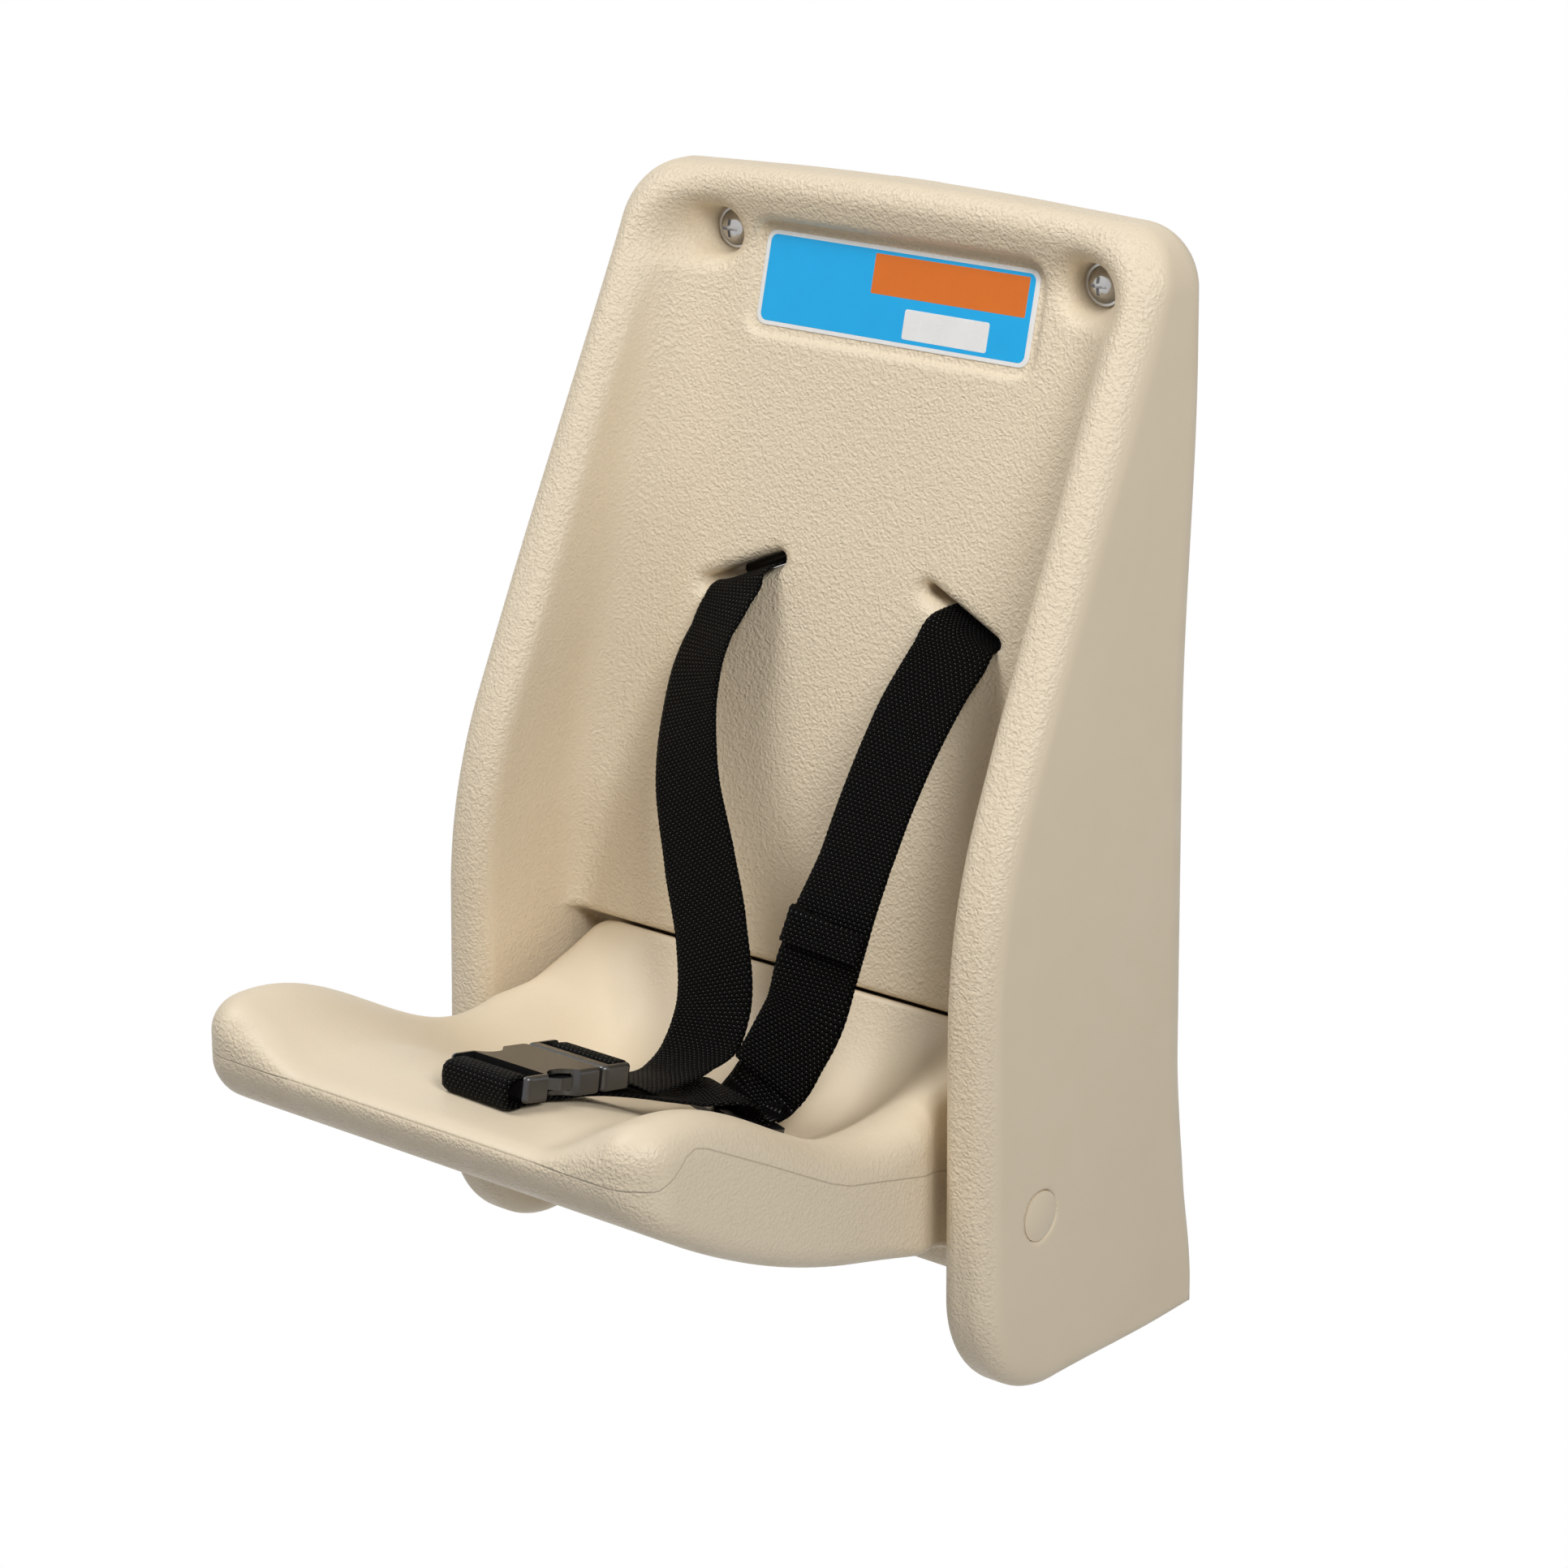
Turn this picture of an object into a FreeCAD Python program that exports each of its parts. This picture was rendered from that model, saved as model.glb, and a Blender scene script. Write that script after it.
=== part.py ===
import FreeCAD, Part
import math

# Wall-mounted child seat: a moulded back shell with two cheeks, a seat that folds up between
# them on a pivot rod, and a webbing harness closed by a side-release buckle.
# Millimetres. The wall is the plane y = 0 and the seat faces -Y. The origin is on the wall,
# midway between the two upper wall screws. Heights below are measured up from the shell's foot
# and depths are measured out from the wall.

# Back shell, outside
SHELL_HEIGHT = 489.0
SCREW_BELOW_TOP = 34.0
SCREW_HEIGHT = SHELL_HEIGHT - SCREW_BELOW_TOP
FOOT_WIDTH = 312.0
SIDE_TAPER = 20.0
TOP_WIDTH = FOOT_WIDTH - SIDE_TAPER
SHELL_DEPTH = 155.0
TOP_DEPTH = 28.7
RIM_LEAN = 25.0
RIM_BEND = 220.0
FOOT_ROUND = 50.0
TOP_CORNER = 27.0
TOP_CROWN = 6.0
TOP_ARCH = 1500.0
RIM_ROUND = 14.0
BACK_ROUND = 12.0

# Back shell, backrest recess and seat pocket
CHEEK_THICK = 30.0
CHEEK_INNER = FOOT_WIDTH / 2 - CHEEK_THICK
RECESS_TAPER = 1.0
RECESS_TOP_INNER = CHEEK_INNER - RECESS_TAPER
RECESS_BELOW_TOP = 19.0
RECESS_TOP = SHELL_HEIGHT - RECESS_BELOW_TOP
RECESS_TAPER_LENGTH = 140.0
RECESS_TAPER_START = RECESS_TOP - RECESS_TAPER_LENGTH
RECESS_TAPER_BEND = 300.0
RECESS_CORNER = 34.0
BACKREST_TOP_DEPTH = 17.0
BACKREST_FOOT_DEPTH = 93.5
BACKREST_FOOT_HEIGHT = 151.4
BACKREST_HOLLOW = 20.0
RECESS_ROUND = 9.0

# Pivot of the folding seat
PIVOT_DEPTH = 117.8
PIVOT_HEIGHT = 82.6
ROD_RADIUS = 5.0
ROD_END_IN = 8.0
RUNNING_GAP = 0.05
CHEEK_BUSH_WALL = 2.0
BUSH_FLANGE_RADIUS = 11.0
BUSH_FLANGE = 1.5
SEAT_BUSH_WALL = 2.0
SEAT_BUSH_LENGTH = 30.0
SPACER_WALL = 6.0
CAP_RADIUS = 11.0
CAP_CROWN = 1.6
CAP_SKIRT = 3.0
CAP_SKIRT_WALL = 1.6
COUNTERBORE_DEPTH = 12.0
NUT_RADIUS = 8.5
NUT_THICK = 1.2

# Seat
SEAT_SIDE_GAP = 2.5
SEAT_HALF = CHEEK_INNER - SEAT_SIDE_GAP
SEAT_REACH = 337.0
SEAT_FRONT_CORNER = 20.0
NECK_SIDE_GAP = 10.0
NECK_HALF = CHEEK_INNER - NECK_SIDE_GAP
NECK_START = 157.0
NECK_END = 139.0
NECK_BEND = 20.0
BARREL_RADIUS = 70.0
BARREL_GAP = 3.0
SEAT_BACK_DEPTH = 97.0
STOP_GAP = 0.3
HEEL_REACH = 68.0
HEEL_FOOT = 36.0
HEEL_LENGTH = 25.0
UNDERSIDE_START = 135.0
UNDERSIDE_LOW = 63.0
UNDERSIDE_SLOPE = 0.235
UNDERSIDE_SWEEP_START = 190.0
UNDERSIDE_SWEEP = 33.3
PAN_LOW_DEPTH = 155.0
PAN_LOW = 108.0
LIP_DEPTH = 310.0
LIP_HEIGHT = 159.5
LIP_DROP = 6.0
PAN_BACK_HEIGHT = 149.5
PAN_BACK_POWER = 2.2
DIP_DEPTH = 177.0
DIP_HEIGHT = 128.4
BOLSTER_DEPTH = 316.0
BOLSTER_HEIGHT = 179.0
BOLSTER_DROP = 12.0
RIM_BACK_HEIGHT = 145.0
RIM_BACK_POWER = 1.9
CREST_INSET = 13.5
CREST_HALF = SEAT_HALF - CREST_INSET
BOLSTER_SLOPE_WIDTH = 48.0
PAN_HALF = CREST_HALF - BOLSTER_SLOPE_WIDTH
EDGE_ROLL = 10.0
UNDER_ROLL = 12.0
UNDER_ROLL_START = 0.08

# Seat stops, moulded on the lower panel
STOP_FROM_CHEEK = 46.0
STOP_X = CHEEK_INNER - STOP_FROM_CHEEK
STOP_WIDTH = 30.0
HEEL_RISE = 25.0

# Wall screws
UPPER_SCREW_FROM_SIDE = 46.0
UPPER_SCREW_X = TOP_WIDTH / 2 - UPPER_SCREW_FROM_SIDE
LOWER_SCREW_FROM_CHEEK = 51.0
LOWER_SCREW_X = CHEEK_INNER - LOWER_SCREW_FROM_CHEEK
LOWER_SCREW_HEIGHT = 18.0
SCREW_RADIUS = 3.2
SCREW_OUT = 35.0
SCREW_HOLE_GAP = 1.2
HEAD_RADIUS = 8.2
HEAD_DOME = 5.0
WASHER_RADIUS = 9.2
WASHER_THICK = 1.4
WASHER_GAP = 0.4
UPPER_SEAT_DEPTH = 8.0
LOWER_SEAT_DEPTH = 20.0
DIMPLE_RADIUS = 22.0
DIMPLE_START = 4.0
DIMPLE_DEPTH = 14.0
CROSS_LENGTH = 8.0
CROSS_WIDE = 1.6
CROSS_DEPTH = 2.4
SCREW_POINT = 8.0
SCREW_TIP = 0.8

# Label plate
LABEL_FROM_SCREW = 27.0
LABEL_WIDTH = 2 * (UPPER_SCREW_X - LABEL_FROM_SCREW)
LABEL_TALL = 42.0
LABEL_BELOW_TOP = 50.0
LABEL_HEIGHT = SHELL_HEIGHT - LABEL_BELOW_TOP
LABEL_THICK = 0.5
LABEL_RECESS = 2.4
LABEL_MARGIN = 4.0
LABEL_CORNER = 5.0

# Webbing and its slots
WEB_WIDTH = 38.0
WEB_THICK = 1.4
WEB_STEP = 5.0
WEB_SIDE_GAP = 1.0
SLOT_X = 61.7
SLOT_HEIGHT = 312.0
SLOT_SLANT = 24.0
SLOT_LENGTH = 43.0
SLOT_TALL = 6.0
DIMPLE_SLOT_GROW = 6.0
DIMPLE_SLOT_DEPTH = 10.0
SLOT_FLARE = 2.0
ANCHOR_POCKET_DEPTH = 24.0
ANCHOR_POCKET_WIDTH = 190.0
ANCHOR_POCKET_TALL = 76.0
ANCHOR_POCKET_CORNER = 10.0
ANCHOR_RADIUS = 3.0
ANCHOR_LENGTH = 58.0
ANCHOR_LOOP_GAP = 0.1

# Buckle and strap adjuster
BUCKLE_X = 13.5
BUCKLE_DEPTH = 305.0
BUCKLE_HEIGHT = 168.2
BUCKLE_PITCH = -11.0
BUCKLE_YAW = -3.0
BUCKLE_ROLL = -1.5
BUCKLE_WIDTH = 45.0
BUCKLE_THICK = 11.0
BUCKLE_WALL = 2.0
BUCKLE_CORNER = 3.0
BUCKLE_ROUND = 1.6
BUCKLE_BAR = 4.5
BUCKLE_BAR_TALL = 7.0
BUCKLE_SLOT = 7.5
SOCKET_LENGTH = 44.0
SOCKET_SIDE = 3.5
SOCKET_HOLLOW = 30.0
WINDOW_MIDDLE = 21.5
WINDOW_LENGTH = 19.0
WINDOW_SINK = 6.5
LOOP_SLACK = 4.0
WRAP_LEAD = 2.2
WRAP_START = 1.0
WRAP_STEPS = 5
TAIL_LENGTH = 17.0
TONGUE_LENGTH = 24.0
TONGUE_WIDTH = 8.0
TONGUE_THICK = 3.0
ARM_LENGTH = 28.5
ARM_WIDTH = 4.5
ARM_THICK = 5.0
ARM_X = 12.5
ARM_HOOK = 6.0
ARM_SHOULDER_IN = 2.8
ARM_GAP = 0.4
ARM_KNUCKLE = 2.4
ARM_ROOT_IN = 2.8
ARM_PAD = 6.3
ARM_TIP_ROUND = 1.0
ARM_PAD_ROUND = 2.0
ARM_EDGE_ROUND = 0.6
GLIDE_LENGTH = 24.0
GLIDE_WIDTH = 46.0
GLIDE_THICK = 3.0
GLIDE_SLOT = 5.0
GLIDE_BAR = 4.0
GLIDE_X = 42.0
GLIDE_DEPTH = 184.0
GLIDE_HEIGHT = 120.5
GLIDE_PITCH = -14.0
GLIDE_YAW = -18.0

# Worked-out sizes
BACKREST_SLOPE = (BACKREST_FOOT_DEPTH - BACKREST_TOP_DEPTH) / (RECESS_TOP - BACKREST_FOOT_HEIGHT)
BACKREST_LEAN = math.degrees(math.atan(BACKREST_SLOPE))
POCKET_RADIUS = BARREL_RADIUS + BARREL_GAP
PANEL_DEPTH = PIVOT_DEPTH - POCKET_RADIUS
HEEL_DEPTH = PIVOT_DEPTH - HEEL_REACH
COUNTERBORE_X = (FOOT_WIDTH - SIDE_TAPER * PIVOT_HEIGHT / SHELL_HEIGHT) / 2 - COUNTERBORE_DEPTH
ROD_END = COUNTERBORE_X + COUNTERBORE_DEPTH - ROD_END_IN
SLOT_MOUTH_DEPTH = BACKREST_TOP_DEPTH + BACKREST_SLOPE * (RECESS_TOP - SLOT_HEIGHT)
SLOT_EXIT_DEPTH = SLOT_MOUTH_DEPTH - DIMPLE_SLOT_DEPTH + SLOT_FLARE
WEB_ROOM = WEB_WIDTH + 2 * WEB_SIDE_GAP
PLUG_START = SOCKET_LENGTH + ARM_GAP
PLUG_END = PLUG_START + TAIL_LENGTH
ARM_ROOM = ARM_THICK + 2 * ARM_GAP

# Shaping helps: reach of cutting shapes, overlaps between them and tolerances
FAR = 400.0
CLEAR = 20.0
OVERCUT = 1.0
NEAR = 1.0
TINY = 0.01
TOUCH = 0.001
HAIR = 1e-6
LIP_ROUNDS = 20
SURFACE_MARGIN = 5.0
HALF_COLUMNS = 8
ROWS = 14
SLOPE_STEP = 1.0


def at(x, depth, height):
    """A point by its place across, its depth from the wall and its height above the foot."""
    return FreeCAD.Vector(x, -depth, height - SCREW_HEIGHT)


def spot(point):
    """The place across, depth and height of a point."""
    return (point.x, -point.y, point.z + SCREW_HEIGHT)


def side_on(depth, height):
    return at(0.0, depth, height)


def front_on(x, height):
    return at(x, 0.0, height)


def plan_on(x, depth):
    return at(x, depth, 0.0)


def rounded_wire(corners, place):
    """A closed wire through corners (a, b, radius), each one rounded by its own radius."""
    edges = []
    count = len(corners)
    stops = []
    for i, (a, b, radius) in enumerate(corners):
        here = FreeCAD.Vector(a, b, 0)
        before = FreeCAD.Vector(corners[i - 1][0], corners[i - 1][1], 0) - here
        after = FreeCAD.Vector(corners[(i + 1) % count][0], corners[(i + 1) % count][1], 0) - here
        before.normalize()
        after.normalize()
        if radius == 0:
            stops.append((here, here, here))
            continue
        half = before.getAngle(after) / 2
        reach = radius / math.tan(half)
        middle = before + after
        middle.normalize()
        bulge = radius / math.sin(half) - radius
        stops.append((here + before * reach, here + middle * bulge, here + after * reach))
    for i, (start, middle, end) in enumerate(stops):
        if start.distanceToPoint(end) > HAIR:
            points = [place(p.x, p.y) for p in (start, middle, end)]
            edges.append(Part.Arc(*points).toShape())
        following = stops[(i + 1) % count][0]
        if end.distanceToPoint(following) > HAIR:
            edges.append(Part.LineSegment(place(end.x, end.y), place(following.x, following.y)).toShape())
    return Part.Wire(edges)


def prism(wire, start, length):
    """The flat face inside a wire, moved by start and drawn out by length."""
    face = Part.Face(wire)
    face.translate(start)
    return face.extrude(length)


def bar(centre, direction, radius, length):
    """A round bar centred on a point."""
    unit = FreeCAD.Vector(direction)
    unit.normalize()
    return Part.makeCylinder(radius, length, centre - unit * (length / 2), unit)


def tube(centre, direction, inner, outer, length):
    return bar(centre, direction, outer, length).cut(bar(centre, direction, inner, length + 2 * OVERCUT))


def dome(base, direction, radius, rise):
    """A low spherical cap standing on a point."""
    unit = FreeCAD.Vector(direction)
    unit.normalize()
    side = Z_AXIS.cross(unit)
    side.normalize()
    ball = (radius ** 2 + rise ** 2) / (2 * rise)
    turn = math.asin(radius / ball) / 2
    middle = base + side * (ball * math.sin(turn)) + unit * (ball * math.cos(turn) - ball + rise)
    edge = base + side * radius
    top = base + unit * rise
    wire = Part.Wire([
        Part.LineSegment(base, edge).toShape(),
        Part.Arc(edge, middle, top).toShape(),
        Part.LineSegment(top, base).toShape(),
    ])
    return Part.Face(wire).revolve(base, unit, 360)


def mirrored(shape):
    return shape.mirror(FreeCAD.Vector(0, 0, 0), FreeCAD.Vector(1, 0, 0))


def save(name, *solids):
    shape = solids[0] if len(solids) == 1 else Part.makeCompound(list(solids))
    for solid in shape.Solids:
        if not solid.isValid():
            raise RuntimeError(name + " is not a valid solid")
    print(name, len(shape.Solids), "solids", round(shape.Volume / 1000, 2), "cm3")
    shape.exportStep("parts/" + name + ".step")


X_AXIS = FreeCAD.Vector(1, 0, 0)
Y_AXIS = FreeCAD.Vector(0, 1, 0)
Z_AXIS = FreeCAD.Vector(0, 0, 1)


def backrest_depth(height):
    """Depth of the leaning backrest surface at a height."""
    return BACKREST_TOP_DEPTH + BACKREST_SLOPE * (RECESS_TOP - height)


def shell_half_width(height):
    return (FOOT_WIDTH + (TOP_WIDTH - FOOT_WIDTH) * height / SHELL_HEIGHT) / 2


# Back shell
def shell_envelope():
    """The wedge outside of the shell, with its rim and foot edges rounded."""
    bend_height = SHELL_HEIGHT - (SHELL_DEPTH - TOP_DEPTH) / math.tan(math.radians(RIM_LEAN))
    profile = rounded_wire(
        [
            (0, 0, 0),
            (SHELL_DEPTH, 0, FOOT_ROUND),
            (SHELL_DEPTH, bend_height, RIM_BEND),
            (TOP_DEPTH, SHELL_HEIGHT, 0),
            (TOP_DEPTH, SHELL_HEIGHT + TOP_CROWN, 0),
            (0, SHELL_HEIGHT + TOP_CROWN, 0),
        ],
        side_on,
    )
    wedge = prism(profile, -X_AXIS * FOOT_WIDTH, X_AXIS * (2 * FOOT_WIDTH))
    shoulder = SHELL_HEIGHT - TOP_CROWN
    outline = rounded_wire(
        [
            (-FOOT_WIDTH / 2, 0, 0),
            (FOOT_WIDTH / 2, 0, 0),
            (shell_half_width(shoulder), shoulder, TOP_CORNER),
            (0, SHELL_HEIGHT, TOP_ARCH),
            (-shell_half_width(shoulder), shoulder, TOP_CORNER),
        ],
        front_on,
    )
    walls = prism(outline, Y_AXIS * OVERCUT, -Y_AXIS * FAR)
    body = wedge.common(walls)
    foot_end = shell_half_width(0) - NEAR
    rim = [e for e in body.Edges if touches(e, walls) and touches(e, wedge) and e.BoundBox.YMin < -NEAR
           and (e.BoundBox.XMax < -foot_end or e.BoundBox.XMin > foot_end
                or e.BoundBox.ZMin > -SCREW_HEIGHT + NEAR or e.BoundBox.ZLength > NEAR)]
    body = body.makeFillet(RIM_ROUND, rim)
    back = [e for e in body.Edges if e.BoundBox.YMin > -TINY and e.BoundBox.ZMax > -SCREW_HEIGHT + NEAR]
    return body.makeFillet(BACK_ROUND, back)


def touches(edge, solid):
    """Whether the middle of an edge lies on a solid's surface."""
    middle = edge.valueAt((edge.FirstParameter + edge.LastParameter) / 2)
    return solid.Shells[0].distToShape(Part.Vertex(middle))[0] < TOUCH


def recess_tool():
    """The space in front of the backrest and round the folding seat, cut from the wedge."""
    lip_height = PIVOT_HEIGHT + POCKET_RADIUS
    for _ in range(LIP_ROUNDS):
        rise = math.sqrt(POCKET_RADIUS ** 2 - (PIVOT_DEPTH - backrest_depth(lip_height)) ** 2)
        lip_height = PIVOT_HEIGHT + rise
    lip_depth = backrest_depth(lip_height)
    half_turn = math.atan2(lip_height - PIVOT_HEIGHT, PIVOT_DEPTH - lip_depth) / 2
    bow_depth = PIVOT_DEPTH - POCKET_RADIUS * math.cos(half_turn)
    bow_height = PIVOT_HEIGHT + POCKET_RADIUS * math.sin(half_turn)
    lip = side_on(lip_depth, lip_height)
    turn = side_on(PANEL_DEPTH, PIVOT_HEIGHT)
    above = SHELL_HEIGHT + CLEAR
    corners = [
        turn,
        side_on(PANEL_DEPTH, -CLEAR),
        side_on(FAR, -CLEAR),
        side_on(FAR, above),
        side_on(backrest_depth(above), above),
        lip,
    ]
    edges = [Part.LineSegment(a, b).toShape() for a, b in zip(corners, corners[1:])]
    edges.append(Part.Arc(lip, side_on(bow_depth, bow_height), turn).toShape())
    profile = prism(Part.Wire(edges), -X_AXIS * FAR, X_AXIS * (2 * FAR))
    outline = rounded_wire(
        [
            (-CHEEK_INNER, -CLEAR, 0),
            (CHEEK_INNER, -CLEAR, 0),
            (CHEEK_INNER, RECESS_TAPER_START, RECESS_TAPER_BEND),
            (RECESS_TOP_INNER, RECESS_TOP, RECESS_CORNER),
            (-RECESS_TOP_INNER, RECESS_TOP, RECESS_CORNER),
            (-CHEEK_INNER, RECESS_TAPER_START, RECESS_TAPER_BEND),
        ],
        front_on,
    )
    tool = profile.common(prism(outline, Y_AXIS * FAR, -Y_AXIS * (2 * FAR)))
    lean = math.radians(BACKREST_LEAN)
    normal = FreeCAD.Vector(0, math.cos(lean), -math.sin(lean))
    floor = [f for f in tool.Faces if abs(abs(f.normalAt(0, 0).dot(normal)) - 1) < HAIR][0]
    soft = [e for e in floor.Edges if e.BoundBox.ZMax > lip.z + NEAR]
    return tool.makeFillet(BACKREST_HOLLOW, soft)


def slot_wire(length, tall, side, depth):
    """A round-ended slot's outline on the backrest, slanting down and outwards."""
    wire = rounded_wire(
        [
            (-length / 2, -tall / 2, tall / 2 - TINY),
            (length / 2, -tall / 2, tall / 2 - TINY),
            (length / 2, tall / 2, tall / 2 - TINY),
            (-length / 2, tall / 2, tall / 2 - TINY),
        ],
        lambda a, b: FreeCAD.Vector(a, 0, b),
    )
    wire.rotate(FreeCAD.Vector(0, 0, 0), Y_AXIS, side * SLOT_SLANT)
    wire.translate(at(side * SLOT_X, depth, SLOT_HEIGHT))
    return wire


def on_backrest(shape, height, sink):
    """Lays a shape drawn in the XZ plane on the backrest, sunk in by a distance."""
    shape.rotate(FreeCAD.Vector(0, 0, 0), X_AXIS, -BACKREST_LEAN)
    lean = math.radians(BACKREST_LEAN)
    inward = FreeCAD.Vector(0, math.cos(lean), -math.sin(lean))
    shape.translate(at(0, backrest_depth(height), height) + inward * sink)
    return shape


def label_blank(grow, thick):
    half = LABEL_WIDTH / 2 + grow
    tall = LABEL_TALL / 2 + grow
    corner = LABEL_CORNER + grow
    wire = rounded_wire(
        [(-half, -tall, corner), (half, -tall, corner), (half, tall, corner), (-half, tall, corner)],
        lambda a, b: FreeCAD.Vector(a, 0, b),
    )
    return Part.Face(wire).extrude(-Y_AXIS * thick)


def back_shell():
    body = shell_envelope()
    tool = recess_tool()
    shell = body.cut(tool)
    rim = [e for e in shell.Edges if touches(e, body) and touches(e, tool)]
    shell = shell.makeFillet(RECESS_ROUND, rim)
    for side in (-1, 1):
        shell = shell.cut(upper_screw_space(side))
        shell = shell.cut(lower_screw_space(side))
        shell = shell.cut(strap_slot_space(side))
        shell = shell.cut(pivot_space(side))
        shell = shell.fuse(seat_stop(side))
    shell = shell.cut(anchor_pocket())
    shell = shell.cut(on_backrest(label_blank(LABEL_MARGIN, FAR), LABEL_HEIGHT, LABEL_RECESS))
    return shell.removeSplitter()


def upper_screw_space(side):
    """Screw hole, washer seat and the dimple that opens outwards round the screw head."""
    seat = at(side * UPPER_SCREW_X, UPPER_SEAT_DEPTH, SCREW_HEIGHT)
    hole = bar(seat, Y_AXIS, SCREW_RADIUS + SCREW_HOLE_GAP, FAR)
    well = Part.makeCylinder(WASHER_RADIUS + WASHER_GAP, FAR, seat, -Y_AXIS)
    dimple = Part.makeCone(WASHER_RADIUS, DIMPLE_RADIUS, DIMPLE_DEPTH, seat - Y_AXIS * DIMPLE_START, -Y_AXIS)
    return hole.fuse([well, dimple])


def lower_screw_space(side):
    seat = at(side * LOWER_SCREW_X, LOWER_SEAT_DEPTH, LOWER_SCREW_HEIGHT)
    hole = bar(seat, Y_AXIS, SCREW_RADIUS + SCREW_HOLE_GAP, FAR)
    return hole.fuse(Part.makeCylinder(WASHER_RADIUS + WASHER_GAP, FAR, seat, -Y_AXIS))


def strap_slot_space(side):
    """A slot through the backrest, opening into a soft dimple in front."""
    mouth = SLOT_MOUTH_DEPTH + SLOT_FLARE
    neck = mouth - DIMPLE_SLOT_DEPTH - SLOT_FLARE
    wide = slot_wire(SLOT_LENGTH + 2 * DIMPLE_SLOT_GROW, SLOT_TALL + 2 * DIMPLE_SLOT_GROW, side, mouth)
    narrow = slot_wire(SLOT_LENGTH, SLOT_TALL, side, neck)
    flare = Part.makeLoft([narrow, wide], True, True)
    return Part.Face(narrow).extrude(Y_AXIS * FAR).fuse(flare)


def anchor_pocket():
    """Pocket in the shell's back where both shoulder straps are anchored."""
    half = ANCHOR_POCKET_WIDTH / 2
    low = SLOT_HEIGHT - ANCHOR_POCKET_TALL / 2
    high = SLOT_HEIGHT + ANCHOR_POCKET_TALL / 2
    corner = ANCHOR_POCKET_CORNER
    wire = rounded_wire(
        [(-half, low, corner), (half, low, corner), (half, high, corner), (-half, high, corner)], front_on
    )
    return prism(wire, Y_AXIS * OVERCUT, -Y_AXIS * (ANCHOR_POCKET_DEPTH + OVERCUT))


def pivot_at(x):
    return at(x, PIVOT_DEPTH, PIVOT_HEIGHT)


def pivot_space(side):
    """Bush bore and cap counterbore through one cheek."""
    bore = Part.makeCylinder(ROD_RADIUS + RUNNING_GAP + CHEEK_BUSH_WALL, FAR, pivot_at(0), X_AXIS * side)
    well = Part.makeCylinder(CAP_RADIUS, FAR, pivot_at(side * COUNTERBORE_X), X_AXIS * side)
    return bore.fuse(well)


def seat_stop(side):
    """Rib on the lower panel that the seat's heel rests on."""
    front = HEEL_DEPTH - STOP_GAP
    low = at(side * STOP_X - STOP_WIDTH / 2, front, HEEL_FOOT)
    return Part.makeBox(STOP_WIDTH, front - PANEL_DEPTH + OVERCUT, HEEL_RISE, low)


# Seat
def pan_height(depth):
    """Height of the pan along its middle: low at the thighs, up to the front lip and the back."""
    if depth > LIP_DEPTH:
        return LIP_HEIGHT - LIP_DROP * ((depth - LIP_DEPTH) / (SEAT_REACH - LIP_DEPTH)) ** 2
    if depth > PAN_LOW_DEPTH:
        share = (depth - PAN_LOW_DEPTH) / (LIP_DEPTH - PAN_LOW_DEPTH)
        return PAN_LOW + (LIP_HEIGHT - PAN_LOW) * (1 - math.cos(math.pi * share)) / 2
    share = (PAN_LOW_DEPTH - depth) / (PAN_LOW_DEPTH - SEAT_BACK_DEPTH)
    return PAN_LOW + (PAN_BACK_HEIGHT - PAN_LOW) * share ** PAN_BACK_POWER


def crest_height(depth):
    """Height of the side rim: bolster at the front, a dip beside the thighs, up again behind."""
    if depth > BOLSTER_DEPTH:
        return BOLSTER_HEIGHT - BOLSTER_DROP * ((depth - BOLSTER_DEPTH) / (SEAT_REACH - BOLSTER_DEPTH)) ** 2
    if depth > DIP_DEPTH:
        share = (depth - DIP_DEPTH) / (BOLSTER_DEPTH - DIP_DEPTH)
        return DIP_HEIGHT + (BOLSTER_HEIGHT - DIP_HEIGHT) * (1 - math.cos(math.pi * share)) / 2
    share = (DIP_DEPTH - depth) / (DIP_DEPTH - SEAT_BACK_DEPTH)
    return DIP_HEIGHT + (RIM_BACK_HEIGHT - DIP_HEIGHT) * share ** RIM_BACK_POWER


def top_height(x, depth):
    """The seat's upper surface: the pan swept up to the rim and rolled off at its edge."""
    across = abs(x)
    share = min(1, max(0, (across - PAN_HALF) / (CREST_HALF - PAN_HALF)))
    blend = share * share * (3 - 2 * share)
    height = pan_height(depth) + (crest_height(depth) - pan_height(depth)) * blend
    over = max(0, (across - CREST_HALF) / (SEAT_HALF - CREST_HALF))
    return height - EDGE_ROLL * over ** 2


def under_height(x, depth):
    """The seat's underside, rising towards the front and rolled up at its sides."""
    share = max(0, (depth - UNDERSIDE_START) / (SEAT_REACH - UNDERSIDE_START))
    over = max(0, (abs(x) - CREST_HALF) / (SEAT_HALF - CREST_HALF))
    sweep = max(0, (depth - UNDERSIDE_SWEEP_START) / (SEAT_REACH - UNDERSIDE_SWEEP_START))
    rise = UNDERSIDE_SLOPE * (depth - UNDERSIDE_START) + UNDERSIDE_SWEEP * sweep ** 2
    roll = UNDER_ROLL * over ** 2 * (1 - share) * min(1, share / UNDER_ROLL_START)
    return UNDERSIDE_LOW + rise + roll


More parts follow.
